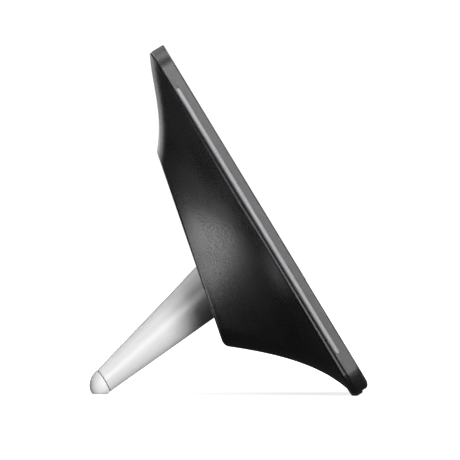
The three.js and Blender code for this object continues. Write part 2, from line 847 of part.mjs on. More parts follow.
function hollowRings() {
  const steps = 8;
  const top = innerLine(topFlare, flatRunDown, steps);
  const bottom = innerLine(bottomFlare, flatRun, steps);
  const count = Math.min(top.kept.length, bottom.kept.length);
  const pairs = top.kept.slice(0, count).map((p, k) => [p, bottom.kept[k]]);
  pairs.push([top.corner, bottom.corner]);
  return pairs.map(([t, b], k) =>
    headOutline(
      {
        side: coverWall * 0.5 + ((t.x + b.x) / 2) * sideScale,
        top: t.x,
        bottom: b.x,
        corner: Math.max(3, frameCorner - coverWall + (k / count) * (flatCorner - frameCorner)),
        depthTop: t.y,
        depthBottom: b.y,
      },
      3,
    ),
  );
}

function addRearCover() {
  const outer = loft(coverRings());
  const shell = cut(outer, loft(hollowRings()));

  const tongueOuter = bandWall + CLEARANCE;
  const tongueInner = tongueOuter + tongueThickness;
  const tongueFront = seamBack - tongueReach;
  const tongueBack = seamBack + 0.7;
  const tongue = cut(
    sheet(tongueOuter, frameCorner - tongueOuter, tongueFront, tongueBack),
    sheet(tongueInner, frameCorner - tongueInner, tongueFront - PAST, tongueBack + PAST),
  );
  const recessLining = common(
    outer,
    box(
      recessWallAt - recessWall,
      frameWidth,
      recessFront - recessWall,
      recessBack + recessWall,
      recessBottom - recessWall,
      recessTop + recessWall,
    ),
  );
  const bosses = caseScrews.map(([x, z]) =>
    bar(bossRadius, bossFront(z), flatDepthAt(z) - 1, x, z, 16),
  );
  const padRadius = socketFlange + 0.5;
  const pad = onFlat(bar(padRadius, -coverWall - socketPad, -coverWall + 0.5, 0, socketAt, 32));

  const holeRadius = discRadius + CLEARANCE + socketRing + CLEARANCE;
  const socketHole = onFlat(bar(holeRadius, -20, 2, 0, socketAt, 32));
  const outside = flatDepthBottom + 15;
  const counterbores = caseScrews.map(([x, z]) =>
    bar(screwHeadRadius + 0.4, seatDepth(z), outside, x, z, 16),
  );
  const screwHoles = caseScrews.map(([x, z]) => bar(postBore, bossFront(z) - PAST, outside, x, z, 12));
  const socketScrewHoles = socketScrews.map(([x, z]) =>
    onFlat(bar(1.2, -coverWall - socketPad - PAST, -coverWall, x, z, 12)),
  );
  const buttonHoles = buttons.map((button) => onFlat(buttonOpening(button)));

  const recess = box(recessWallAt, frameWidth, recessFront, recessBack, recessBottom, recessTop);
  const wallFrom = recessWallAt - recessWall - PAST;
  const wallTo = recessWallAt + PAST;
  const cardHole = box(
    wallFrom,
    wallTo,
    partsFront + 0.4 - CLEARANCE,
    partsFront + 0.4 + cardSlotHeight + CLEARANCE,
    cardAt - cardWidth / 2 - CLEARANCE,
    cardAt + cardWidth / 2 + CLEARANCE,
  );
  const usbHalf = usbHalfWidth + 0.05;
  const usbHole = box(wallFrom, wallTo, partsFront, partsFront + 4, usbAt - usbHalf, usbAt + usbHalf);
  const jackHoleRadius = jackBore + CLEARANCE;
  const jackHole = new THREE.CylinderGeometry(jackHoleRadius, jackHoleRadius, wallTo - wallFrom, 24)
    .rotateZ(Math.PI / 2)
    .translate((wallFrom + wallTo) / 2, partsFront + jackAxis, powerAt);

  const cover = cut(
    join(shell, tongue, recessLining, ...bosses, pad),
    socketHole,
    ...counterbores,
    ...screwHoles,
    ...socketScrewHoles,
    ...buttonHoles,
    recess,
    cardHole,
    usbHole,
    jackHole,
    footPocket(-1),
    footPocket(1),
  );
  add(head, "rear_cover", cover, "coverBlack");

  caseScrews.forEach(([x, z], i) => {
    const screw = screwGeometry(screwHeadRadius, screwHeadHeight, postBore - CLEARANCE, 8);
    add(head, `case_screw_${i + 1}`, screw.translate(x, seatDepth(z) + CLEARANCE, z), "steel");
  });
}

// ---------------------------------------------------------------- buttons and their switches

const buttons = [
  { name: "power", x: -outerButtonPitch, z: clusterAt, round: true },
  { name: "menu", x: outerButtonPitch, z: clusterAt, round: true },
  { name: "ok", x: 0, z: clusterAt, round: true },
  { name: "up", x: 0, z: clusterAt + keyPitch, width: keyLong, height: keyShort },
  { name: "down", x: 0, z: clusterAt - keyPitch, width: keyLong, height: keyShort },
  { name: "previous", x: -keyPitch, z: clusterAt, width: keyShort, height: keyLong },
  { name: "next", x: keyPitch, z: clusterAt, width: keyShort, height: keyLong },
];

function buttonSection(button, growth, y0, y1) {
  const { x, z } = button;
  if (button.round) return bar(buttonRadius + growth, y0, y1, x, z, 20);
  const corner = keyShort / 2 - 0.8 + growth;
  const shape = roundedShape(button.width + 2 * growth, button.height + 2 * growth, corner, x, z);
  return plate(shape, y0, y1, 2);
}

function buttonOpening(button) {
  return buttonSection(button, CLEARANCE, -coverWall - 1, 2);
}

const flangeTop = -coverWall - CLEARANCE;
const flangeBottom = flangeTop - buttonFlangeThickness;
const plungerTop = flangeBottom - buttonTravel - CLEARANCE;
const switchTop = plungerTop - plungerHeight;
const keyBoardTop = switchTop - switchHeight - CLEARANCE;

function addButtons() {
  for (const button of buttons) {
    const cap = join(
      buttonSection(button, 0, flangeTop - 0.1, -buttonSink),
      buttonSection(button, buttonFlange, flangeBottom, flangeTop),
    );
    add(flat, `button_${button.name}`, cap, "softBlack");

    const half = switchSide / 2;
    const { x, z } = button;
    const key = join(
      box(x - half, x + half, switchTop - switchHeight, switchTop, z - half, z + half),
      bar(plungerRadius, switchTop - 0.2, plungerTop, x, z, 16),
    );
    add(flat, `switch_${button.name}`, key, "steel");
  }
  const halfWidth = outerButtonPitch + 7;
  const low = clusterAt - keyPitch - 4;
  const high = clusterAt + keyPitch + 5;
  const shape = roundedShape(2 * halfWidth, high - low, 2, 0, (low + high) / 2);
  const board = plate(shape, keyBoardTop - keyBoardThickness, keyBoardTop, 2);
  add(flat, "key_board", board, "boardGreen");
}

// ---------------------------------------------------------------- leg socket

const socketScrewRadius = (discRadius + 2 * CLEARANCE + socketRing + socketFlange) / 2;
const socketScrews = [0, 1, 2].map((i) => {
  const angle = (i / 3) * FULL_TURN + Math.PI / 2;
  const x = socketScrewRadius * Math.cos(angle);
  return [x, socketAt + socketScrewRadius * Math.sin(angle)];
});

const recessFloor = discThickness + 2 * CLEARANCE;
const grooveTopY = -(lugTop - lugClearance);
const grooveBottomY = -(lugTop + lugThickness + lugClearance);
const boreRadius = spigotRadius + lugClearance;
const lugRadius = spigotRadius + lugReach;
const flangeFront = -(coverWall + socketPad + CLEARANCE);

function lugBlock(width, radius, y0, y1, turn) {
  const block = box(-radius, radius, y0, y1, -width / 2, width / 2);
  return common(block, bar(radius, y0 - 1, y1 + 1, 0, 0, 32)).rotateY(turn);
}

function addSocket() {
  const ringInner = discRadius + CLEARANCE;
  const ringOuter = ringInner + socketRing;
  const flangeBack = flangeFront - socketFlangeThickness;
  const cupFloor = -(socketCupDepth - 1.5);
  const grooveRadius = lugRadius + lugClearance;
  const profile = [
    [0, -socketCupDepth],
    [socketCupRadius, -socketCupDepth],
    [socketCupRadius, flangeBack],
    [socketFlange, flangeBack],
    [socketFlange, flangeFront],
    [ringOuter, flangeFront],
    [ringOuter, -0.2],
    [ringInner, -0.2],
    [ringInner, -recessFloor],
    [boreRadius, -recessFloor],
    [boreRadius, grooveTopY],
    [grooveRadius, grooveTopY],
    [grooveRadius, grooveBottomY],
    [boreRadius, grooveBottomY],
    [boreRadius, cupFloor],
    [0, cupFloor],
  ];
  const entry = lugBlock(
    lugWidth + 2 * lugClearance,
    grooveRadius,
    grooveTopY - 0.5,
    -recessFloor + 1,
    unlockTurn,
  );
  const holes = socketScrews.map(([x, z]) => bar(1.4, flangeBack - 1, flangeFront + 1, x, z - socketAt, 12));
  add(socket, "leg_socket", cut(turned(profile), entry, ...holes), "socketPlastic");

  socketScrews.forEach(([x, z], i) => {
    const screw = screwGeometry(2.1, 1.2, 1, 5.5)
      .rotateX(Math.PI)
      .translate(x, flangeBack - CLEARANCE, z - socketAt);
    add(socket, `socket_screw_${i + 1}`, screw, "steel");
  });
  add(socket, "detent_spring", waveRing(cupFloor), "steel");
}

// A flat wire ring that waves up and down, under the end of the spigot.
function waveRing(cupFloor) {
  const steps = 48;
  const outer = spigotRadius - 0.3;
  const inner = outer - springWidth;
  const level = (cupFloor - spigotDepth) / 2;
  const positions = [];
  const faces = [];
  for (let step = 0; step < steps; step++) {
    const angle = (step / steps) * FULL_TURN;
    const wave = level + springWave * Math.sin(springWaves * angle);
    for (const [radius, side] of [
      [inner, -1],
      [outer, -1],
      [outer, 1],
      [inner, 1],
    ]) {
      const y = wave + (side * springThickness) / 2;
      positions.push(radius * Math.cos(angle), y, radius * Math.sin(angle));
    }
    for (let i = 0; i < 4; i++) {
      const next = (i + 1) % 4;
      const [a, b] = [step * 4 + i, step * 4 + next];
      const ahead = ((step + 1) % steps) * 4;
      const [c, d] = [ahead + next, ahead + i];
      faces.push(a, b, c, a, c, d);
    }
  }
  const geometry = new THREE.BufferGeometry();
  geometry.setAttribute("position", new THREE.Float32BufferAttribute(positions, 3));
  geometry.setIndex(faces);
  return geometry;
}

// ---------------------------------------------------------------- leg

// One round section of the leg, by its distance behind the flat; its plane tips with the distance.
function legRing(distance, radius, tilt) {
  const points = [];
  for (let i = 0; i < legSteps; i++) {
    const angle = (i / legSteps) * FULL_TURN;
    const across = radius * Math.cos(angle);
    points.push(
      new THREE.Vector3(
        across - legSwing * distance,
        socketDepth + distance + across * Math.tan(tilt),
        socketHeight - legDrop * distance + radius * Math.sin(angle),
      ),
    );
  }
  return points;
}

const legRadiusAt = (distance) =>
  legBaseRadius + ((legEndRadius - legBaseRadius) * distance) / legLength;
const legTiltAt = (distance) => (seamTilt * Math.max(0, distance)) / legLength;

function legCone(from, to, wall, steps) {
  const rings = [];
  for (let step = 0; step <= steps; step++) {
    const distance = from + ((to - from) * step) / steps;
    rings.push(legRing(distance, legRadiusAt(distance) - wall, legTiltAt(distance)));
  }
  return loft(rings);
}

function addLeg() {
  const belowFlat = onFlat(box(-40, 40, -30, 0, socketAt - 40, socketAt + 40));
  const screwHole = onFlat(bar(2.2, -1, legSolidBase - 3, 0, socketAt, 16));
  const cone = cut(
    legCone(-6, legLength, 0, 5),
    belowFlat,
    screwHole,
    legCone(legSolidBase, legLength + 3, legWall, 3),
  );
  add(head, "leg_cone", cone, "silver");

  const shaft = turned([
    [0, -spigotDepth],
    [spigotRadius, -spigotDepth],
    [spigotRadius, -discThickness - CLEARANCE],
    [discRadius, -discThickness - CLEARANCE],
    [discRadius, -CLEARANCE],
    [0, -CLEARANCE],
  ]);
  const lugs = lugBlock(lugWidth, lugRadius, -lugTop - lugThickness, -lugTop, 0);
  const spigot = cut(
    join(shaft, lugs),
    bar(2.2, -spigotDepth - 1, 1, 0, 0, 16),
    bar(4, -spigotDepth - 1, -spigotDepth + 3, 0, 0, 20),
  );
  add(socket, "leg_spigot", spigot, "socketPlastic");

  const screw = screwGeometry(3.5, 2.2, 1.9, 17, 16)
    .rotateX(Math.PI)
    .translate(0, -spigotDepth + 3 - CLEARANCE, 0);
  add(socket, "leg_screw", screw, "steel");
}

function addLegTip() {
  const rings = [];
  const plugRadius = legRadiusAt(legLength) - legWall - CLEARANCE;
  const start = legLength + CLEARANCE;
  rings.push(legRing(legLength - tipPlugLength, plugRadius, seamTilt));
  rings.push(legRing(start, plugRadius, seamTilt));
  const domeSteps = 7;
  for (let step = 0; step <= domeSteps; step++) {
    const angle = (step / (domeSteps + 0.4)) * (Math.PI / 2);
    const radius = (legEndRadius + tipProud) * Math.cos(angle);
    rings.push(legRing(start + tipLength * Math.sin(angle), radius, seamTilt));
  }
  const table = box(-frameWidth, frameWidth, -frameWidth, 2 * frameWidth, -50, 0);
  const belowTable = table.applyMatrix4(headMatrix.clone().invert());
  add(head, "leg_tip", cut(loft(rings), belowTable), "whiteRubber");
}

// ---------------------------------------------------------------- assembly

addBezel();
addTrim();
addScreen();
addBracket();
addBoard();
addDisplayCable();
addSockets();
addRearCover();
addButtons();
addSocket();
addLeg();
addLegTip();
addFeet();

// The origin is at the bottom of the outline, in the middle of it.
photoFrame.updateMatrixWorld(true);
const outline = new THREE.Box3().setFromObject(photoFrame, true);
head.position.y -= (outline.min.y + outline.max.y) / 2;
head.position.z -= outline.min.z;

export default photoFrame;
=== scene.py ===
"""Looks for the tabletop digital photo frame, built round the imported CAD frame."""

import json
import math

import bmesh
import bpy
from mathutils import Matrix, Vector


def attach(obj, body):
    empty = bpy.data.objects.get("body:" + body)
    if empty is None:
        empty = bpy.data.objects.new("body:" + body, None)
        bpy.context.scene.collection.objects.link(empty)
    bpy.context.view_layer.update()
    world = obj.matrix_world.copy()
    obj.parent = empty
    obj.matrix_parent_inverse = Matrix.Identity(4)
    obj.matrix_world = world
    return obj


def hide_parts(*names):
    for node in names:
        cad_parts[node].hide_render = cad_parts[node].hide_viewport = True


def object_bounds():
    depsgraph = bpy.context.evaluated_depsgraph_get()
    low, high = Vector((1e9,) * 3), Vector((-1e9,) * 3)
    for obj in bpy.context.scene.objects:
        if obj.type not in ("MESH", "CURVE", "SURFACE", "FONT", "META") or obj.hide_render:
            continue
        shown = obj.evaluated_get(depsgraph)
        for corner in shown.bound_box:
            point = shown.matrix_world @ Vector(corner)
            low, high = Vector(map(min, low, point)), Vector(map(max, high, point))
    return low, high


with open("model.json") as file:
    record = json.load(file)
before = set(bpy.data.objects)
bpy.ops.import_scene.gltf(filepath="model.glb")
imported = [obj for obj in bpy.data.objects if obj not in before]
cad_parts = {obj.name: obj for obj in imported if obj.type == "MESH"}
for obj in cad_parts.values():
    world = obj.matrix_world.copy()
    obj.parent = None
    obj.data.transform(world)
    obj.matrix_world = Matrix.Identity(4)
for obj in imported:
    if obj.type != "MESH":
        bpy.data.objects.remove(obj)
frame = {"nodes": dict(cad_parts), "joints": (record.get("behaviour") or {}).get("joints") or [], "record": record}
cad_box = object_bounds()

MM = 0.001
LEAN = math.radians(31.24)

# Head sizes in millimetres, as in the CAD model. Depth runs back from the front face, height up from
# the lower edge.
WIDTH, HEIGHT, CORNER = 215.0, 172.0, 10.0
BAND_DEPTH, BAND_WALL, FACE = 6.2, 2.5, 2.0
FACE_BORDER, OPENING_CORNER = 12.5, 2.5
SEAM_BACK = 6.5
FLARE_TOP, FLARE_BOTTOM, FLARE_SIDE = 37.7, 47.2, 50.0
FLAT_DEPTH_TOP, FLAT_DEPTH_BOTTOM, FLAT_CORNER = 26.4, 45.3, 9.0
COVER_WALL = 2.0
SOCKET_HEIGHT = 70.94

FLAT_TOP = HEIGHT - FLARE_TOP
FLAT_BOTTOM = FLARE_BOTTOM
FLAT_SLOPE = (FLAT_DEPTH_BOTTOM - FLAT_DEPTH_TOP) / (FLAT_TOP - FLAT_BOTTOM)
FLAT_TILT = math.atan(FLAT_SLOPE)
FLAT_MIDDLE = (FLAT_TOP + FLAT_BOTTOM) / 2


def flat_depth(height):
    return FLAT_DEPTH_TOP + (FLAT_TOP - height) * FLAT_SLOPE


def along_flat(height):
    return (height - FLAT_MIDDLE) / math.cos(FLAT_TILT)


SOCKET_DEPTH = flat_depth(SOCKET_HEIGHT)
SOCKET_AT = along_flat(SOCKET_HEIGHT)

# The leg's hinge stands on the socket's centre, which places the head's own frame in the part's.
hinge = next(j for j in frame["joints"] if j["name"] == "leg_turn")
TURN = Matrix.Rotation(-LEAN, 4, "X")
HEAD = (
    Matrix.Translation(Vector(hinge["pos_m"]))
    @ TURN
    @ Matrix.Scale(MM, 4)
    @ Matrix.Translation((0, -SOCKET_DEPTH, -SOCKET_HEIGHT))
)
FLAT_CENTRE = Matrix.Translation((0, flat_depth(FLAT_MIDDLE), FLAT_MIDDLE))
FLAT = HEAD @ FLAT_CENTRE @ Matrix.Rotation(FLAT_TILT, 4, "X")
SOCKET = FLAT @ Matrix.Translation((0, 0, SOCKET_AT))


# ------------------------------------------------------------------ camera, light and floor

def add_camera():
    """A long lens in front of the left edge, as in the photo."""
    data = bpy.data.cameras.new("camera")
    camera = bpy.data.objects.new("camera", data)
    bpy.context.collection.objects.link(camera)
    # The picture is view_width across at the scale plane, which lies inside the near side of the box.
    to_near_side, scale_plane = 7.0, 0.045
    view_width = 0.1993
    to_front, above_floor = 0.001, 0.0716
    data.sensor_width = 36
    data.lens = data.sensor_width * (to_near_side + scale_plane) / view_width
    data.clip_end = 80
    lo, hi = cad_box
    camera.location = (lo.x - to_near_side, (lo.y + hi.y) / 2 - to_front, lo.z + above_floor)
    camera.rotation_euler = (math.radians(90), 0, math.radians(-90))
    bpy.context.scene.camera = camera
    bpy.context.scene.view_settings.view_transform = "Standard"


def area_light(name, place, aim, size, power, diffuse=True, glossy=True):
    """A softbox, which can be left out of the diffuse or the glossy light."""
    data = bpy.data.lights.new(name, "AREA")
    data.shape = "RECTANGLE"
    data.size, data.size_y = size
    data.energy = power
    light = bpy.data.objects.new(name, data)
    bpy.context.collection.objects.link(light)
    light.location = place
    light.rotation_euler = (Vector(aim) - Vector(place)).to_track_quat("-Z", "Y").to_euler()
    light.visible_camera = False
    light.visible_diffuse = diffuse
    light.visible_glossy = glossy


def add_world():
    """Light by direction: dim below, a narrow white band round the horizon, grey above."""
    world = bpy.data.worlds.new("studio")
    bpy.context.scene.world = world
    world.use_nodes = True
    tree = world.node_tree
    background = tree.nodes["Background"]
    coords = tree.nodes.new("ShaderNodeTexCoord")
    split = tree.nodes.new("ShaderNodeSeparateXYZ")
    ramp = tree.nodes.new("ShaderNodeValToRGB")
    tree.links.new(coords.outputs["Generated"], split.inputs[0])
    height = tree.nodes.new("ShaderNodeMapRange")
    height.inputs["From Min"].default_value = -1
    tree.links.new(split.outputs["Z"], height.inputs["Value"])
    tree.links.new(height.outputs[0], ramp.inputs[0])
    tree.links.new(ramp.outputs[0], background.inputs["Color"])
    # Position 0 is straight down, 0.5 the horizon and 1 straight up.
    lower, band, over_band, upper = 0.045, 1.05, 0.2, 0.3
    stops = ramp.color_ramp.elements
    stops[0].position, stops[0].color = 0.0, (*grey(lower), 1)
    stops[1].position, stops[1].color = 1.0, (*grey(upper), 1)
    for position, value in ((0.478, lower), (0.49, band), (0.512, band), (0.53, over_band)):
        stop = stops.new(position)
        stop.color = (*grey(value), 1)


def add_floor():
    """A plain pale floor. It glows, more so from half a metre away, to meet the white band of the world."""
    reach, sides = 16.0, 64
    mesh = bpy.data.meshes.new("floor")
    mesh.from_pydata([(x, y, 0) for x, y in circle(0, 0, reach, sides)], [], [tuple(range(sides))])
    floor = bpy.data.objects.new("floor", mesh)
    bpy.context.collection.objects.link(floor)
    material, shader, tree = new_material("floor_white")
    shader.inputs["Base Color"].default_value = (0.88, 0.88, 0.88, 1)
    shader.inputs["Roughness"].default_value = 0.9
    shader.inputs["Specular IOR Level"].default_value = 0.2
    shader.inputs["Emission Color"].default_value = (1, 1, 1, 1)
    place = node(tree, "ShaderNodeTexCoord")
    away = node(tree, "ShaderNodeVectorMath", operation="LENGTH")
    tree.links.new(place.outputs["Object"], away.inputs[0])
    near_glow, far_glow, near, far = 0.8, 1.6, 0.05, 0.5
    glow = ranged(tree, away.outputs["Value"], near_glow, far_glow, near, far)
    tree.links.new(glow, shader.inputs["Emission Strength"])
    mesh.materials.append(material)
    floor.visible_glossy = False
    floor.visible_diffuse = False
    floor.visible_shadow = False


def add_lights():
    """Softboxes round the object; the key stands low, so that the head shades the base of the leg."""
    area_light("top_softbox", (-0.2, -0.6, 1.5), (0, 0, 0), (1.3, 1.3), 20)
    area_light("key_softbox", (-2.4, -0.78, -0.02), (0, 0, 0.05), (0.8, 0.8), 78, glossy=False)
    area_light("rim_softbox", (-2.4, 0.2, 0.35), (0, 0, 0.07), (0.9, 0.6), 28, diffuse=False)
    area_light("back_softbox", (-0.5, 0.9, 1.4), (0, 0, 0.07), (1.0, 0.9), 12, diffuse=False)
    area_light("far_back_softbox", (0.9, 1.3, 1.1), (0, 0, 0.07), (1.0, 1.0), 16, diffuse=False)
    area_light("edge_softbox", (1.2, 0.75, 0.1), (0, 0, 0.1), (0.8, 0.35), 0.8, diffuse=False)
    # A small panel just above the floor behind the object, facing straight up.
    x, y = -0.035, 0.155
    area_light("low_reflector", (x, y, 0.004), (x, y, 1), (0.08, 0.09), 0.13, diffuse=False)


# ------------------------------------------------------------------ materials

def new_material(name):
    material = bpy.data.materials.new(name)
    material.use_nodes = True
    tree = material.node_tree
    return material, tree.nodes["Principled BSDF"], tree


def node(tree, kind, **values):
    made = tree.nodes.new(kind)
    for key, value in values.items():
        if key in made.inputs:
            made.inputs[key].default_value = value
        else:
            setattr(made, key, value)
    return made


def noise(tree, scale, detail, roughness=0.5):
    coords = node(tree, "ShaderNodeTexCoord")
    texture = node(tree, "ShaderNodeTexNoise", Scale=scale, Detail=detail, Roughness=roughness)
    tree.links.new(coords.outputs["Object"], texture.inputs["Vector"])
    return texture.outputs["Fac"]


def ranged(tree, value, low, high, start=0.3, end=0.7):
    span = node(tree, "ShaderNodeMapRange")
    span.inputs["From Min"].default_value = start
    span.inputs["From Max"].default_value = end
    span.inputs["To Min"].default_value = low
    span.inputs["To Max"].default_value = high
    tree.links.new(value, span.inputs["Value"])
    return span.outputs["Result"]


def tone(tree, value, dark, light):
    mix = node(tree, "ShaderNodeMix", data_type="RGBA")
    mix.inputs["A"].default_value = (*dark, 1)
    mix.inputs["B"].default_value = (*light, 1)
    tree.links.new(value, mix.inputs["Factor"])
    return mix.outputs["Result"]


def bump(tree, shader, height, distance):
    bumped = node(tree, "ShaderNodeBump")
    bumped.inputs["Distance"].default_value = distance
    bumped.inputs["Strength"].default_value = 1.0
    tree.links.new(height, bumped.inputs["Height"])
    tree.links.new(bumped.outputs["Normal"], shader.inputs["Normal"])


GRAIN_SHARE = 1.4
MIXED_LOW, MIXED_HIGH = 0.9, 1.5


def surface(name, dark, light, rough, grain, depth, metallic=0.0, cloud=40.0, spread=0.06, specular=0.5):
    """A material whose tone and gloss vary with a slow cloud and a fine grain, which is also its bump."""
    material, shader, tree = new_material(name)
    shader.inputs["Metallic"].default_value = metallic
    shader.inputs["Specular IOR Level"].default_value = specular
    slow = noise(tree, cloud, 3.0)
    fine = noise(tree, grain, 2.0, 0.6)
    mixed = node(tree, "ShaderNodeMath", operation="MULTIPLY_ADD")
    tree.links.new(fine, mixed.inputs[0])
    mixed.inputs[1].default_value = GRAIN_SHARE
    tree.links.new(slow, mixed.inputs[2])
    share = ranged(tree, mixed.outputs[0], 0, 1, MIXED_LOW, MIXED_HIGH)
    tree.links.new(tone(tree, share, dark, light), shader.inputs["Base Color"])
    gloss = ranged(tree, mixed.outputs[0], rough - spread, rough + spread, MIXED_LOW, MIXED_HIGH)
    tree.links.new(gloss, shader.inputs["Roughness"])
    bump(tree, shader, fine, depth)
    return material


def grey(value, tint=0.0):
    return (value, value, value * (1 + tint))


def make_materials():
    made = {
        "bezel_paint": surface("bezel_paint", grey(0.042), grey(0.084), 0.42, 2000, 0.00003, 0.9),
        "trim_grey": surface("trim_grey", grey(0.13, 0.06), grey(0.19, 0.06), 0.4, 2600, 0.000006, 0.5),
        "mat_black": surface(
            "mat_black", grey(0.0066), grey(0.0072), 0.12, 900, 0.0000001, cloud=60, spread=0.01
        ),
        "cover_plastic": surface(
            "cover_plastic", grey(0.003), grey(0.0075), 0.28, 2200, 0.000014, specular=0.35
        ),
        "leg_silver": surface("leg_silver", grey(0.62), grey(0.68), 0.5, 4800, 0.000004, 0.12, specular=0.3),
        "tip_rubber": surface("tip_rubber", grey(0.68), grey(0.74), 0.6, 3000, 0.000006),
        "foot_rubber": surface("foot_rubber", grey(0.008), grey(0.014), 0.75, 2600, 0.00004),
        "button_rubber": surface("button_rubber", grey(0.032), grey(0.05), 0.5, 3000, 0.00002),
        "socket_plastic": surface("socket_plastic", grey(0.02), grey(0.032), 0.45, 3500, 0.00002),
        "board_green": surface("board_green", (0.01, 0.09, 0.035), (0.02, 0.14, 0.06), 0.35, 900, 0.00003),
        "chip_black": surface("chip_black", grey(0.012), grey(0.02), 0.6, 5000, 0.00001),
        "ferrite_grey": surface("ferrite_grey", grey(0.04), grey(0.06), 0.75, 2500, 0.00004),
        "ribbon_amber": surface("ribbon_amber", (0.42, 0.22, 0.07), (0.55, 0.32, 0.12), 0.3, 1800, 0.00001),
        "sheet_steel": surface("sheet_steel", grey(0.4), grey(0.5), 0.35, 1500, 0.00001, 1.0),
        "screw_steel": surface("screw_steel", grey(0.24), grey(0.34), 0.35, 3500, 0.00001, 1.0),
        "socket_metal": surface("socket_metal", grey(0.5), grey(0.6), 0.3, 3000, 0.000006, 1.0),
        "spring_steel": surface("spring_steel", grey(0.45), grey(0.55), 0.25, 3000, 0.000004, 1.0),
        "capacitor_can": surface("capacitor_can", grey(0.6), grey(0.7), 0.35, 3000, 0.00001, 1.0),
        "cell_steel": surface("cell_steel", grey(0.55), grey(0.65), 0.25, 2500, 0.000004, 1.0),
        "backlight_white": surface("backlight_white", grey(0.7), grey(0.78), 0.4, 1500, 0.00001),
    }
    glass, shader, tree = new_material("window_clear")
    shader.inputs["Transmission Weight"].default_value = 1.0
    shader.inputs["IOR"].default_value = 1.49
    shader.inputs["Base Color"].default_value = (0.97, 0.98, 0.98, 1)
    tree.links.new(ranged(tree, noise(tree, 35, 4), 0.0, 0.02), shader.inputs["Roughness"])
    made["window_clear"] = glass
    dark, light = (0.017, 0.02, 0.028), (0.0185, 0.0215, 0.03)
    made["lcd_glass"] = surface("lcd_glass", dark, light, 0.14, 700, 0.0000001, cloud=30, spread=0.01)
    return made


# ------------------------------------------------------------------ mesh tools

def loft(rings):
    """A closed body through rings of points; each ring runs anticlockwise seen from the front."""
    mesh = bmesh.new()
    rows = [[mesh.verts.new(point) for point in ring] for ring in rings]
    count = len(rows[0])
    for row, ahead in zip(rows, rows[1:]):
        for i in range(count):
            j = (i + 1) % count
            mesh.faces.new((row[i], ahead[i], ahead[j], row[j]))
    mesh.faces.new(rows[0])
    mesh.faces.new(rows[-1][::-1])
    return mesh


def turned(profile, steps=96):
    """A turned body about y; the profile is [radius, y] from the axis to the axis."""
    mesh = bmesh.new()
    rows = []
    for radius, y in profile:
        if radius == 0:
            rows.append([mesh.verts.new((0, y, 0))] * steps)
            continue
        angles = (2 * math.pi * i / steps for i in range(steps))
        rows.append([mesh.verts.new((radius * math.cos(a), y, radius * math.sin(a))) for a in angles])
    for row, ahead in zip(rows, rows[1:]):
        for i in range(steps):
            j = (i + 1) % steps
            corners = []
            for vert in (row[i], ahead[i], ahead[j], row[j]):
                if vert not in corners:
                    corners.append(vert)
            mesh.faces.new(corners)
    bmesh.ops.recalc_face_normals(mesh, faces=mesh.faces)
    return mesh


def moved(mesh, matrix):
    bmesh.ops.transform(mesh, matrix=matrix, verts=mesh.verts)
    return mesh


def arc_points(x, z, radius, start, turn, steps):
    return [
        (x + radius * math.cos(start + turn * i / steps), z + radius * math.sin(start + turn * i / steps))
        for i in range(steps + 1)
    ]


def circle(x, z, radius, steps):
    turn = 2 * math.pi / steps
    return [(x + radius * math.cos(turn * i), z + radius * math.sin(turn * i)) for i in range(steps)]


def rounded(width, height, corner, x=0.0, z=0.0, steps=8):
    """A rounded rectangle, anticlockwise, as (x, z)."""
    points = []
    for quarter, (sx, sz) in enumerate(((1, 1), (-1, 1), (-1, -1), (1, -1))):
        cx, cz = x + sx * (width / 2 - corner), z + sz * (height / 2 - corner)
        points += arc_points(cx, cz, corner, quarter * math.pi / 2, math.pi / 2, steps)
    return points


def layers(outline_at, depths):
    """A body whose outline at each depth is outline_at(growth), for (depth, growth) pairs."""
    return loft([[(x, depth, z) for x, z in outline_at(growth)] for depth, growth in depths])


def prism(points, x0, x1, bevel=0.0):
    """A profile in depth and height, drawn along x; a bevel rounds the edges of its two ends."""
    mesh = bmesh.new()
    near = [mesh.verts.new((x0, y, z)) for y, z in points]
    far = [mesh.verts.new((x1, y, z)) for y, z in points]
    mesh.faces.new(near)
    mesh.faces.new(far[::-1])
    for i in range(len(points)):
        j = (i + 1) % len(points)
        mesh.faces.new((near[i], far[i], far[j], near[j]))
    bmesh.ops.recalc_face_normals(mesh, faces=mesh.faces)
    if bevel:
        ends = [e for e in mesh.edges if abs(e.verts[0].co.x - e.verts[1].co.x) < 1e-6]
        bmesh.ops.bevel(mesh, geom=ends, offset=bevel, segments=3, profile=0.5, affect="EDGES")
    return mesh


def box(x0, x1, y0, y1, z0, z1):
    mesh = bmesh.new()
    bmesh.ops.create_cube(mesh, size=1)
    for vert in mesh.verts:
        x, y, z = vert.co
        vert.co = (x0 if x < 0 else x1, y0 if y < 0 else y1, z0 if z < 0 else z1)
    return mesh


def temporary(mesh):
    data = bpy.data.meshes.new("tool")
    bmesh.ops.triangulate(mesh, faces=mesh.faces[:])
    mesh.to_mesh(data)
    mesh.free()
    return bpy.data.objects.new("tool", data)


def carved(mesh, steps):
    """The body after joining and cutting, one step after another, with (operation, tool) pairs."""
    base = temporary(mesh)
    bpy.context.collection.objects.link(base)
    tools = []
    for operation, tool in steps:
        other = temporary(tool)
        bpy.context.collection.objects.link(other)
        tools.append(other)
        modifier = base.modifiers.new(operation, "BOOLEAN")
        modifier.operation = operation
        modifier.object = other
        modifier.solver = "MANIFOLD"
    graph = bpy.context.evaluated_depsgraph_get()
    result = bmesh.new()
    result.from_object(base, graph)
    for other in [base, *tools]:
        data = other.data
        bpy.data.objects.remove(other)
        bpy.data.meshes.remove(data)
    bmesh.ops.remove_doubles(result, verts=result.verts, dist=1e-4)
    bmesh.ops.dissolve_limit(
        result,
        angle_limit=math.radians(0.05),
        verts=result.verts,
        edges=result.edges,
        use_dissolve_boundaries=False,
    )
    return result


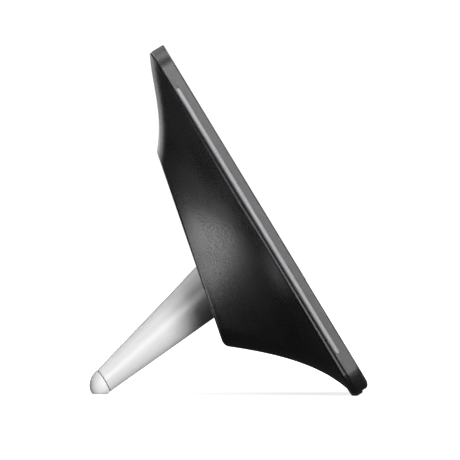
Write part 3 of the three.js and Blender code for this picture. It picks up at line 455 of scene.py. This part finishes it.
def finished(name, mesh, matrix, body, slot, *nodes, smooth=32, weighted=True):
    moved(mesh, matrix)
    data = bpy.data.meshes.new(name)
    mesh.to_mesh(data)
    mesh.free()
    for polygon in data.polygons:
        polygon.use_smooth = True
    data.set_sharp_from_angle(angle=math.radians(smooth))
    obj = bpy.data.objects.new(name, data)
    bpy.context.collection.objects.link(obj)
    data.materials.append(materials[slot])
    if weighted:
        modifier = obj.modifiers.new("normals", "WEIGHTED_NORMAL")
        modifier.keep_sharp = True
        modifier.weight = 90
    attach(obj, body)
    if nodes:
        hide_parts(*nodes)


# ------------------------------------------------------------------ outlines of the head

def head_outline(side, top, bottom, corner, depth_top, depth_bottom, steps=12, runs=14):
    """The frame's rectangle moved in on each side, with round corners; its depth changes with the height."""
    right, low, high = WIDTH / 2 - side - corner, bottom + corner, HEIGHT - top - corner
    centres = ((right, high), (-right, high), (-right, low), (right, low))
    flat = []
    for quarter, (x, z) in enumerate(centres):
        arc = arc_points(x, z, corner, quarter * math.pi / 2, math.pi / 2, steps)
        flat += arc
        nx, nz = centres[(quarter + 1) % 4]
        ahead = (quarter + 1) * math.pi / 2
        ax, az = arc[-1]
        bx, bz = nx + corner * math.cos(ahead), nz + corner * math.sin(ahead)
        flat += [(ax + (bx - ax) * i / runs, az + (bz - az) * i / runs) for i in range(1, runs)]
    span = HEIGHT - top - bottom
    return [(x, depth_bottom + (z - bottom) / span * (depth_top - depth_bottom), z) for x, z in flat]


def even_outline(inset, depth, corner, bottom=None):
    bottom = inset if bottom is None else bottom
    return head_outline(inset, inset, bottom, corner, depth, depth)


def head_sheet(margin, corner, depths):
    """A rounded sheet of the head, for (depth, growth) pairs."""

    def outline_at(growth):
        width = WIDTH - 2 * margin + 2 * growth
        height = HEIGHT - 2 * margin + 2 * growth
        return rounded(width, height, corner + max(growth, 0), 0, HEIGHT / 2)

    return layers(outline_at, depths)


FOOT_X, FOOT_HALF, FOOT_GAP = 78.0, 11.0, 0.3


def foot_pocket(direction):
    centre, half = direction * FOOT_X, FOOT_HALF + FOOT_GAP
    points = [(3.6, 1.0), (3.6, -2), (12, -2), (12, 2.3), (7.3, 2.3), (7.3, 1.0)]
    return prism(points, centre - half, centre + half)


def stadium(centre, radius, low, high, steps=10):
    top = arc_points(centre, high - radius, radius, 0, math.pi, steps)
    bottom = arc_points(centre, low + radius, radius, math.pi, math.pi, steps)
    return top + bottom


# ------------------------------------------------------------------ bezel and trim

GROOVE_MIDDLE, GROOVE_RADIUS, GROOVE_DEPTH = 4.5, 1.0, 0.9
GROOVE_LOW, GROOVE_HIGH = 19.0, 153.0
TRIM_GAP, TRIM_SUNK, TRIM_THICK = 0.2, 0.3, 0.4
EDGE_ROUND, LOW_ROUND_DEPTH, LOW_ROUND_HEIGHT = 0.55, 2.2, 3.2


def bezel_ring(depth):
    """The outline at a depth, drawn in by the round front edge, which is larger along the lower side."""
    inset = EDGE_ROUND * (1 - math.sqrt(1 - max(0, 1 - depth / EDGE_ROUND) ** 2))
    bottom = LOW_ROUND_HEIGHT * (1 - math.sqrt(1 - max(0, 1 - depth / LOW_ROUND_DEPTH) ** 2))
    return even_outline(inset, depth, CORNER - inset, bottom)


def make_bezel():
    depths = [EDGE_ROUND * (1 - math.cos(math.pi / 2 * i / 8)) for i in range(9)]
    depths += [0.8, 1.1, 1.5, 1.9, LOW_ROUND_DEPTH, 5.56]
    rings = [bezel_ring(d) for d in depths]
    back_edge = ((0.01, 5.72), (0.04, 5.86), (0.1, 6.02), (0.15, 6.13), (0.22, BAND_DEPTH))
    rings += [even_outline(inset, depth, CORNER - inset) for inset, depth in back_edge]
    slope = [(-1, 1.1), (0, 1.1), (0.25, 0.6), (0.9, 0.12), (1.3, 0), (BAND_DEPTH, 0)]
    opening = head_sheet(FACE_BORDER, OPENING_CORNER, slope)
    inner_wall = [(FACE, 0), (BAND_DEPTH - 0.3, 0), (BAND_DEPTH + 1, 0.5)]
    pocket = head_sheet(BAND_WALL, CORNER - BAND_WALL, inner_wall)
    steps = [("DIFFERENCE", opening), ("DIFFERENCE", pocket)]
    for direction in (-1, 1):
        ends = sorted((direction * (WIDTH / 2 + 1), direction * (WIDTH / 2 - GROOVE_DEPTH)))
        groove = stadium(GROOVE_MIDDLE, GROOVE_RADIUS, GROOVE_LOW, GROOVE_HIGH)
        steps.append(("DIFFERENCE", prism(groove, *ends)))
        steps.append(("DIFFERENCE", foot_pocket(direction)))
    finished("bezel", carved(loft(rings), steps), HEAD, "head", "bezel_paint", "front_bezel")


def make_trim():
    outer = WIDTH / 2 - TRIM_SUNK
    inner = outer - TRIM_THICK
    low, high = GROOVE_LOW + TRIM_GAP, GROOVE_HIGH - TRIM_GAP
    for side, direction in (("left", -1), ("right", 1)):
        profile = stadium(GROOVE_MIDDLE, GROOVE_RADIUS - TRIM_GAP, low, high)
        ends = sorted((direction * inner, direction * outer))
        strip = prism(profile, *ends, 0.12)
        finished(f"trim_{side}", strip, HEAD, "head", "trim_grey", f"trim_strip_{side}")


# ------------------------------------------------------------------ rear cover

def bezier(p0, p1, p2, p3, t):
    s = 1 - t
    shares = (s**3, 3 * s * s * t, 3 * s * t * t, t**3)
    return tuple(sum(share * v for share, v in zip(shares, values)) for values in zip(p0, p1, p2, p3))


def even_points(curve, samples=400):
    """The curve's points as a function of its length, from 0 to 1."""
    dots = [Vector(curve(i / samples)) for i in range(samples + 1)]
    lengths = [0.0]
    for a, b in zip(dots, dots[1:]):
        lengths.append(lengths[-1] + (b - a).length)

    def at(share):
        want = share * lengths[-1]
        i = max(1, next((k for k, length in enumerate(lengths) if length >= want), samples))
        step = lengths[i] - lengths[i - 1]
        return dots[i - 1].lerp(dots[i], (want - lengths[i - 1]) / step if step else 0)

    return at, lengths[-1]


TOP_START, BOTTOM_START = SEAM_BACK + 0.4, SEAM_BACK + 1.6
TOP_PULLS = (
    (0, TOP_START),
    (0.318 * FLARE_TOP, TOP_START + 6.4),
    (0.65 * FLARE_TOP, FLAT_DEPTH_TOP - 11.5),
    (FLARE_TOP, FLAT_DEPTH_TOP),
)
BOTTOM_PULLS = (
    (0, BOTTOM_START),
    (0.339 * FLARE_BOTTOM, BOTTOM_START + 3.7),
    (0.63 * FLARE_BOTTOM, FLAT_DEPTH_BOTTOM - 21.7),
    (FLARE_BOTTOM, FLAT_DEPTH_BOTTOM),
)
SIDE_SCALE = 2 * FLARE_SIDE / (FLARE_TOP + FLARE_BOTTOM)
SHOULDER_STEPS, FLARE_STEPS, BLEND_STEPS = 8, 40, 8


def round_corner(start, corner, end, steps):
    """Points of a curve that starts and ends along the two sides of a corner."""
    shares = [i / steps for i in range(steps + 1)]
    return [start * (1 - t) ** 2 + corner * 2 * t * (1 - t) + end * t * t for t in shares]


def side_line(pulls, rim_front, shoulder, run, blend):
    """One side's outer line as (inset, depth): a round shoulder, the flare and a blend into the flat."""
    at, length = even_points(lambda t: bezier(*pulls, t))
    first, last = shoulder / length, 1 - blend / length
    corner = Vector(pulls[3])
    points = round_corner(Vector((0, rim_front)), Vector(pulls[0]), at(first), SHOULDER_STEPS)
    points += [at(first + (last - first) * i / FLARE_STEPS) for i in range(1, FLARE_STEPS + 1)]
    points += round_corner(points[-1], corner, corner + Vector(run) * blend, BLEND_STEPS)[1:]
    return points


def cover_rings():
    run = 1 / math.hypot(1, FLAT_SLOPE)
    rim = SEAM_BACK + 0.25
    shoulder_top, blend_top, shoulder_bottom, blend_bottom = 1.2, 0.6, 3.0, 2.6
    top = side_line(TOP_PULLS, rim, shoulder_top, (run, FLAT_SLOPE * run), blend_top)
    bottom_run = (run, -FLAT_SLOPE * run)
    bottom = side_line(BOTTOM_PULLS, rim + 0.8, shoulder_bottom, bottom_run, blend_bottom)
    # The first rings are a narrow rib that closes the seam to the band.
    edge = ((0.5, SEAM_BACK - 0.22), (0.42, SEAM_BACK), (0.2, SEAM_BACK + 0.01), (0.07, SEAM_BACK + 0.08))
    rings = [even_outline(inset, depth, CORNER - inset) for inset, depth in edge]
    for k, (t, b) in enumerate(zip(top, bottom)):
        share = min(1, k / (SHOULDER_STEPS + FLARE_STEPS))
        side = min(FLARE_SIDE + 1.4, (t[0] + b[0]) / 2 * SIDE_SCALE)
        rings.append(head_outline(side, t[0], b[0], CORNER + share * (FLAT_CORNER - CORNER), t[1], b[1]))
    return rings


def hollow_rings(steps=16):
    """The inside: each side line moved in by the wall, up to the inside of the flat."""
    lines = []
    for pulls, slope in ((TOP_PULLS, FLAT_SLOPE), (BOTTOM_PULLS, -FLAT_SLOPE)):
        at, _ = even_points(lambda t: bezier(*pulls, t))
        line = []
        for i in range(steps + 1):
            here, ahead = at(max(0, i / steps - 0.01)), at(min(1, i / steps + 0.01))
            along = (ahead - here).normalized()
            spot = at(i / steps)
            line.append(Vector((spot.x + COVER_WALL * along.y, spot.y - COVER_WALL * along.x)))
        corner = Vector(pulls[3])
        limit = COVER_WALL * math.hypot(1, slope)

        def below(p):
            return corner.y + slope * (p.x - corner.x) - limit - p.y

        kept = [p for p in line if below(p) > 0.5]
        last, ahead = kept[-1], line[len(kept)]
        share = below(last) / (below(last) - below(ahead))
        lines.append((kept, last.lerp(ahead, share)))
    (top, top_end), (bottom, bottom_end) = lines
    count = min(len(top), len(bottom))
    pairs = list(zip(top[:count], bottom[:count])) + [(top_end, bottom_end)]
    side_gap, first_corner = 1, 8
    rings = []
    for k, (t, b) in enumerate(pairs):
        side = side_gap + (t.x + b.x) / 2 * SIDE_SCALE
        round_by = first_corner + k / count * (FLAT_CORNER - CORNER)
        rings.append(head_outline(side, t.x, b.x, round_by, t.y, b.y, 6, 4))
    return rings


CASE_SCREWS = [
    (side * 50.0, height) for height in (FLAT_TOP - 10.5, FLAT_BOTTOM + 10.5) for side in (-1, 1)
]
CLUSTER_AT = SOCKET_AT + 41.0
KEYS = {
    "power": (-36.0, 0.0, None),
    "menu": (36.0, 0.0, None),
    "ok": (0.0, 0.0, None),
    "up": (0.0, 11.0, (12.0, 5.0)),
    "down": (0.0, -11.0, (12.0, 5.0)),
    "previous": (-11.0, 0.0, (5.0, 12.0)),
    "next": (11.0, 0.0, (5.0, 12.0)),
}
ONTO_FLAT = HEAD.inverted() @ FLAT
ROUND_KEY, KEY_CORNER = 4.0, 1.7


def key_outline(name, growth, steps=8):
    x, z, size = KEYS[name]
    z += CLUSTER_AT
    if size is None:
        return circle(x, z, ROUND_KEY + growth, 48)
    return rounded(size[0] + 2 * growth, size[1] + 2 * growth, KEY_CORNER + growth, x, z, steps)


def bored(radius, depths, x, z, steps=48):
    """A round cutter along depth, for (depth, growth) pairs."""
    return layers(lambda g: circle(x, z, radius + g, steps), depths)


# The recess for the cables runs from its wall out to the side; the three ports open through that wall.
RECESS_WALL, RECESS_FRONT, RECESS_BACK, RECESS_LOW, RECESS_HIGH = 66.5, 16.6, 26.6, 62.0, 116.0
LINING = 1.6
PORTS_FRONT = 18.9
# Width, height, corner, middle behind the ports' front, height of the middle and steps to a corner.
PORTS = (
    (3.0, 25.0, 0.4, 1.6, 98.0, 4),  # card slot
    (4.0, 7.8, 0.6, 2.0, 78.0, 4),  # USB socket
    (6.2, 6.2, 3.09, 3.2, 68.5, 8),  # power jack
)


def recess_cutters():
    middle_y, middle_z = (RECESS_FRONT + RECESS_BACK) / 2, (RECESS_LOW + RECESS_HIGH) / 2
    swap_x_and_y = Matrix(((0, 1, 0, 0), (1, 0, 0, 0), (0, 0, 1, 0), (0, 0, 0, 1)))

    def along_x(outline_at, depths):
        mesh = moved(layers(outline_at, depths), swap_x_and_y)
        bmesh.ops.reverse_faces(mesh, faces=mesh.faces)
        return mesh

    across_y, across_z, corner = RECESS_BACK - RECESS_FRONT, RECESS_HIGH - RECESS_LOW, 1.6
    wall = RECESS_WALL
    bay = along_x(
        lambda g: rounded(across_y + 2 * g, across_z + 2 * g, corner + g, middle_y, middle_z),
        [(wall, -0.5), (wall + 0.15, -0.15), (wall + 0.5, 0), (WIDTH, 0)],
    )
    depths = [(wall - 3, 0), (wall - 0.3, 0), (wall + 0.1, 0.4), (wall + 1, 0.4)]
    mouths = []
    for width, height, corner, behind, z, steps in PORTS:
        y = PORTS_FRONT + behind
        mouths.append(
            along_x(lambda g: rounded(width + 2 * g, height + 2 * g, corner + g, y, z, steps), depths)
        )
    return bay, mouths


# The case screws sit SCREW_SEAT below the flat; their holes run on past the whole cover.
SCREW_SEAT, SCREW_BOSS, SCREW_HEAD_HOLE, SCREW_SHANK_HOLE = 4, 4.2, 3.1, 1.8
PAST_COVER = 60
KEY_GAP = 0.3


def make_cover():
    outer = loft(cover_rings())
    around = box(
        RECESS_WALL - LINING, WIDTH,
        RECESS_FRONT - LINING, RECESS_BACK + LINING,
        RECESS_LOW - LINING, RECESS_HIGH + LINING,
    )
    lining = carved(loft(cover_rings()), [("INTERSECT", around)])
    # The tongue reaches forwards into the bezel.
    tongue = carved(
        head_sheet(2.8, 7.2, [(5.0, -0.2), (5.2, 0), (7.2, 0)]),
        [("DIFFERENCE", head_sheet(4.0, 6.0, [(4.0, 0), (8.2, 0)]))],
    )
    steps = [("DIFFERENCE", loft(hollow_rings())), ("UNION", tongue), ("UNION", lining)]
    for x, z in CASE_SCREWS:
        seat = flat_depth(z) - SCREW_SEAT
        steps.append(("UNION", bored(SCREW_BOSS, [(seat - 2.2, 0), (flat_depth(z) - 1, 0)], x, z)))
    socket_rim = bored(21.5, [(-6.0, 0), (-1.5, 0)], 0, SOCKET_AT, 96)
    steps.append(("UNION", moved(socket_rim, ONTO_FLAT)))
    mouth = [(-20, 0), (-0.45, 0), (-0.15, 0.08), (0.05, 0.4), (2, 0.4)]
    socket_hole = bored(SOCKET_HOLE, mouth, 0, SOCKET_AT, 128)
    steps.append(("DIFFERENCE", moved(socket_hole, ONTO_FLAT)))
    for x, z in CASE_SCREWS:
        seat = flat_depth(z) - SCREW_SEAT
        steps.append(("DIFFERENCE", bored(SCREW_HEAD_HOLE, [(seat, 0), (PAST_COVER, 0)], x, z)))
        steps.append(("DIFFERENCE", bored(SCREW_SHANK_HOLE, [(seat - 4, 0), (PAST_COVER, 0)], x, z)))
    key_mouth = [(-3, 0), (-0.4, 0), (-0.12, 0.08), (0.04, 0.35), (2, 0.35)]
    for name in KEYS:
        hole = layers(lambda g: key_outline(name, KEY_GAP + g), key_mouth)
        steps.append(("DIFFERENCE", moved(hole, ONTO_FLAT)))
    bay, mouths = recess_cutters()
    steps += [("DIFFERENCE", cutter) for cutter in (bay, *mouths, foot_pocket(-1), foot_pocket(1))]
    finished("cover", carved(outer, steps), HEAD, "head", "cover_plastic", "rear_cover", smooth=28)


# ------------------------------------------------------------------ leg

LEG_LENGTH, LEG_BASE, LEG_END = 58.0, 11.25, 5.5
LEG_SWING, LEG_DROP = 0.176, 0.1695
SEAM_TILT = math.radians(8.5)
LEG_WALL, LEG_SOLID = 1.8, 13.0
TIP_START, TIP_LENGTH, TIP_RADIUS = LEG_LENGTH + 0.3, 6.8, LEG_END + 0.1


def leg_radius(distance):
    return LEG_BASE + (LEG_END - LEG_BASE) * distance / LEG_LENGTH


def leg_ring(distance, radius, tilt=None, steps=96):
    """A round section of the leg at a distance behind the flat; its plane tips towards the side."""
    if tilt is None:
        tilt = SEAM_TILT * max(0, distance) / LEG_LENGTH
    ring = []
    for i in range(steps):
        angle = 2 * math.pi * i / steps
        across = radius * math.cos(angle)
        ring.append(
            (
                across - LEG_SWING * distance,
                SOCKET_DEPTH + distance + across * math.tan(tilt),
                SOCKET_HEIGHT - LEG_DROP * distance + radius * math.sin(angle),
            )
        )
    return ring


def make_leg():
    outer = [leg_ring(d, leg_radius(d)) for d in (-6, *(2.9 * k for k in range(20)), LEG_LENGTH - 0.4)]
    # The end has a small round edge.
    for before_end, drawn_in in ((0.15, 0.08), (0, 0.25)):
        d = LEG_LENGTH - before_end
        outer.append(leg_ring(d, leg_radius(d) - drawn_in))
    spread = LEG_LENGTH + 3 - LEG_SOLID
    stations = [LEG_SOLID + spread * k / 6 for k in range(7)]
    bore = [leg_ring(d, leg_radius(d) - LEG_WALL) for d in stations]
    reach = 40
    behind = moved(box(-reach, reach, -30, 0, SOCKET_AT - reach, SOCKET_AT + reach), ONTO_FLAT)
    screw_hole = moved(bored(2.2, [(-1, 0), (LEG_SOLID - 3, 0)], 0, SOCKET_AT), ONTO_FLAT)
    cone = carved(loft(outer), [("DIFFERENCE", tool) for tool in (behind, screw_hole, loft(bore))])
    finished("leg", cone, HEAD, "leg", "leg_silver", "leg_cone")


def make_tip():
    plug = leg_radius(LEG_LENGTH) - LEG_WALL - 0.3
    rings = [
        leg_ring(LEG_LENGTH - 7, plug - 0.3, SEAM_TILT),
        leg_ring(LEG_LENGTH - 6.7, plug, SEAM_TILT),
        leg_ring(TIP_START, plug, SEAM_TILT),
        leg_ring(TIP_START, TIP_RADIUS - 0.3, SEAM_TILT),
        leg_ring(TIP_START + 0.06, TIP_RADIUS - 0.1, SEAM_TILT),
        leg_ring(TIP_START + 0.2, TIP_RADIUS - 0.01, SEAM_TILT),
    ]
    steps = 30
    for k in range(2, steps):
        angle = math.pi / 2 * k / steps
        distance = TIP_START + TIP_LENGTH * math.sin(angle)
        rings.append(leg_ring(distance, TIP_RADIUS * math.cos(angle), SEAM_TILT))
    tip = moved(loft(rings), HEAD)
    softness = 0.15 * MM  # the rubber meets the table in a small round edge
    for vert in tip.verts:
        if vert.co.z < 2 * MM:
            vert.co.z = (vert.co.z + math.hypot(vert.co.z, softness)) / 2
    finished("rubber_tip", tip, Matrix.Identity(4), "leg", "tip_rubber", "leg_tip", smooth=50)


# ------------------------------------------------------------------ leg socket

DISC, SPIGOT, LUG_REACH = 13.5, 7.0, 2.8
LUG_TOP, LUG_THICK, LUG_GAP, LUG_WIDTH = 8.0, 2.6, 0.4, 5
SOCKET_HOLE, FLANGE_RADIUS = 15.5, 21
FLANGE_FRONT, FLANGE_THICK = -6.3, 2.2


def lug_block(width, radius, low, high, turn):
    """A bar across the axis, cut round at its two ends."""
    reach, half = radius + 1, width / 2
    sides = [(-reach, -half), (reach, -half), (reach, half), (-reach, half)]
    bar = layers(lambda g: sides, [(low, 0), (high, 0)])
    block = carved(bar, [("INTERSECT", bored(radius, [(low - 1, 0), (high + 1, 0)], 0, 0, 96))])
    return moved(block, Matrix.Rotation(turn, 4, "Y"))


def socket_screw_places():
    radius = (SOCKET_HOLE + FLANGE_RADIUS + 0.4 - 0.3) / 2
    angles = [2 * math.pi * i / 3 + math.pi / 2 for i in range(3)]
    return [(radius * math.cos(a), radius * math.sin(a)) for a in angles]


def make_socket():
    back = FLANGE_FRONT - FLANGE_THICK
    groove, bore = SPIGOT + LUG_REACH + LUG_GAP, SPIGOT + LUG_GAP
    inner, outer = DISC + 0.3, DISC + 1.7
    cup, cup_end, cup_floor = 12.2, -15, -13.5
    groove_front, groove_back = -LUG_TOP + LUG_GAP, -LUG_TOP - LUG_THICK - LUG_GAP
    profile = [
        (0, cup_end), (cup - 0.4, cup_end), (cup, cup_end + 0.4), (cup, back), (FLANGE_RADIUS - 0.2, back),
        (FLANGE_RADIUS, back + 0.2), (FLANGE_RADIUS, FLANGE_FRONT), (outer, FLANGE_FRONT), (outer, -0.4),
        (outer - 0.06, -0.26), (outer - 0.2, -0.2), (inner + 0.2, -0.2), (inner + 0.06, -0.26),
        (inner, -0.4), (inner, -3.4), (bore, -3.4), (bore, groove_front), (groove, groove_front),
        (groove, groove_back), (bore, groove_back), (bore, cup_floor), (0, cup_floor),
    ]
    entry = lug_block(LUG_WIDTH + 2 * LUG_GAP, groove, groove_front - 0.5, -2.4, math.radians(60))
    steps = [("DIFFERENCE", entry)]
    steps += [("DIFFERENCE", bored(1.4, [(-10, 0), (-5, 0)], x, z, 32)) for x, z in socket_screw_places()]
    cup_mesh = carved(turned(profile, 128), steps)
    finished("socket_cup", cup_mesh, SOCKET, "head", "socket_plastic", "leg_socket")


def make_spigot():
    end = -12.2
    profile = [
        (0, end), (SPIGOT - 0.4, end), (SPIGOT, end + 0.4), (SPIGOT, -3.1), (DISC - 0.2, -3.1), (DISC, -2.9),
        (DISC, -0.6), (DISC - 0.09, -0.39), (DISC - 0.3, -0.3), (0, -0.3),
    ]
    steps = [("UNION", lug_block(LUG_WIDTH, SPIGOT + LUG_REACH, -LUG_TOP - LUG_THICK, -LUG_TOP, 0))]
    steps += [("DIFFERENCE", bored(2.2, [(end - 1, 0), (1, 0)], 0, 0, 40))]
    steps += [("DIFFERENCE", bored(4, [(end - 1, 0), (end + 3, 0)], 0, 0, 48))]
    finished("spigot", carved(turned(profile, 128), steps), SOCKET, "leg", "socket_plastic", "leg_spigot")


# ------------------------------------------------------------------ feet

def make_feet():
    front, back, wrap = 3.9, 7.0, 9.1
    below, above = -0.9, 0.7
    sole_end = wrap - 0.2
    profile = [
        (front, above), (front, -0.5), (front + 0.4, below), (back, below),
        (sole_end, (sole_end - back) * math.tan(LEAN) + below), (wrap, 2.0), (back + 0.6, 2.0),
        (back + 0.6, above),
    ]
    for side, direction in (("left", -1), ("right", 1)):
        foot = prism(profile, direction * FOOT_X - FOOT_HALF, direction * FOOT_X + FOOT_HALF)
        edges = [e for e in foot.edges if e.calc_face_angle(0) > math.radians(20)]
        bmesh.ops.bevel(foot, geom=edges, offset=0.14, segments=2, profile=0.5, affect="EDGES")
        finished(f"rubber_foot_{side}", foot, HEAD, "head", "foot_rubber", f"foot_{side}")


# ------------------------------------------------------------------ keys and their marks

KEY_TOP = -0.2


def make_key(name):
    """A key with a flange behind the flat and a crowned top; depths run from the flat."""
    back, front, flange = -3.1, -2.3, 1.1
    depths = [(back, flange - 0.2), (back + 0.15, flange), (front - 0.15, flange)]
    depths += [(front, flange - 0.1), (front, 0)]
    crown = ((0.55, 0), (0.35, -0.05), (0.2, -0.16), (0.1, -0.34), (0.04, -0.6), (0, -1.3))
    depths += [(KEY_TOP - below, growth) for below, growth in crown]
    key = layers(lambda g: key_outline(name, g, 10), depths)
    finished(f"key_{name}", key, FLAT, f"{name}_key", "button_rubber", f"button_{name}", smooth=40)


def mark_shapes(name):
    """The raised mark of a key, as closed outlines round the key's centre."""
    if name in ("up", "down", "previous", "next"):
        towards = {"up": 90, "down": -90, "previous": 180, "next": 0}[name]
        angles = [math.radians(towards + k) for k in (0, 120, 240)]
        return [[(1.15 * math.cos(a), 1.15 * math.sin(a)) for a in angles]]
    if name == "menu":
        half, thick = 1.4, 0.19
        return [
            [(-half, z - thick), (half, z - thick), (half, z + thick), (-half, z + thick)]
            for z in (-0.85, 0, 0.85)
        ]
    if name == "ok":
        return [circle(0, 0, 0.85, 40)]
    start, turn = math.radians(125), math.radians(290)
    arc = arc_points(0, 0, 1.55, start, turn, 28)
    inside = arc_points(0, 0, 1.2, start + turn, -turn, 28)
    return [arc + inside, [(-0.18, 0.35), (0.18, 0.35), (0.18, 1.8), (-0.18, 1.8)]]


def make_mark(name):
    x, z, _ = KEYS[name]
    mesh = bmesh.new()
    for outline in mark_shapes(name):
        rows = []
        for depth in (KEY_TOP - 0.1, KEY_TOP + 0.06):
            rows.append([mesh.verts.new((x + px, depth, z + CLUSTER_AT + pz)) for px, pz in outline])
        count = len(outline)
        for i in range(count):
            j = (i + 1) % count
            mesh.faces.new((rows[0][i], rows[1][i], rows[1][j], rows[0][j]))
        mesh.faces.new(rows[0])
        mesh.faces.new(rows[1][::-1])
    bmesh.ops.recalc_face_normals(mesh, faces=mesh.faces)
    finished(f"mark_{name}", mesh, FLAT, f"{name}_key", "trim_grey", weighted=False)


# ------------------------------------------------------------------ screws

def make_case_screws():
    """Domed screws with a cross slot, each turned by a different amount."""
    end, shank, top = -8, 1.5, 1.8
    profile = [
        (0, end), (shank - 0.3, end), (shank, end + 0.4), (shank, 0), (2.5, 0), (2.7, 0.25), (2.66, 0.8),
        (2.45, 1.25), (2.0, 1.55), (1.4, 1.72), (0.7, top), (0, top),
    ]
    for i, (x, z) in enumerate(CASE_SCREWS):
        slots_cut = []
        for turn in (20 + 37 * i, 110 + 37 * i):
            blade = box(-1.5, 1.5, 0.5, 3, -0.35, 0.35)
            for vert in blade.verts:
                if vert.co.y < 1:
                    vert.co.x *= 0.35
            slots_cut.append(("DIFFERENCE", moved(blade, Matrix.Rotation(math.radians(turn), 4, "Y"))))
        place = Matrix.Translation((x, flat_depth(z) - SCREW_SEAT + 0.3, z))
        screw = moved(carved(turned(profile, 48), slots_cut), place)
        finished(f"screw_{i + 1}", screw, HEAD, "head", "screw_steel", f"case_screw_{i + 1}", smooth=40)


# ------------------------------------------------------------------ window and mat

SHEET_MARGIN, SHEET_CORNER = 5, 3
PICTURE_MARGIN, PICTURE_CORNER = 25.5, 0.6


def make_front():
    front, back, edge = 2.3, 3.5, 0.15
    window = head_sheet(
        SHEET_MARGIN, SHEET_CORNER, [(front, -edge), (front + edge, 0), (back - edge, 0), (back, -edge)]
    )
    finished("window", window, HEAD, "head", "window_clear", "front_window", weighted=False)
    # The opening in the mat slopes outwards to the front.
    slope = [(2.8, 1.2), (3.7, 0.3), (4.0, 0.05), (4.1, 0), (5.6, 0)]
    opening = head_sheet(PICTURE_MARGIN, PICTURE_CORNER, slope)
    card = head_sheet(SHEET_MARGIN, SHEET_CORNER, [(3.8, -0.1), (3.9, 0), (4.6, 0)])
    mat = carved(card, [("DIFFERENCE", opening)])
    finished("black_mat", mat, HEAD, "head", "mat_black", "picture_mat")


# ------------------------------------------------------------------ the scene

add_camera()
materials = make_materials()
add_world()
add_floor()
add_lights()

slots = {part["node"]: part["material_slot"] for part in frame["record"]["subparts"]}
for name, obj in frame["nodes"].items():
    obj.data.materials.clear()
    obj.data.materials.append(materials[slots[name]])

make_bezel()
make_trim()
make_cover()
make_front()
make_leg()
make_tip()
make_socket()
make_spigot()
make_feet()
for key in KEYS:
    make_key(key)
    make_mark(key)
make_case_screws()
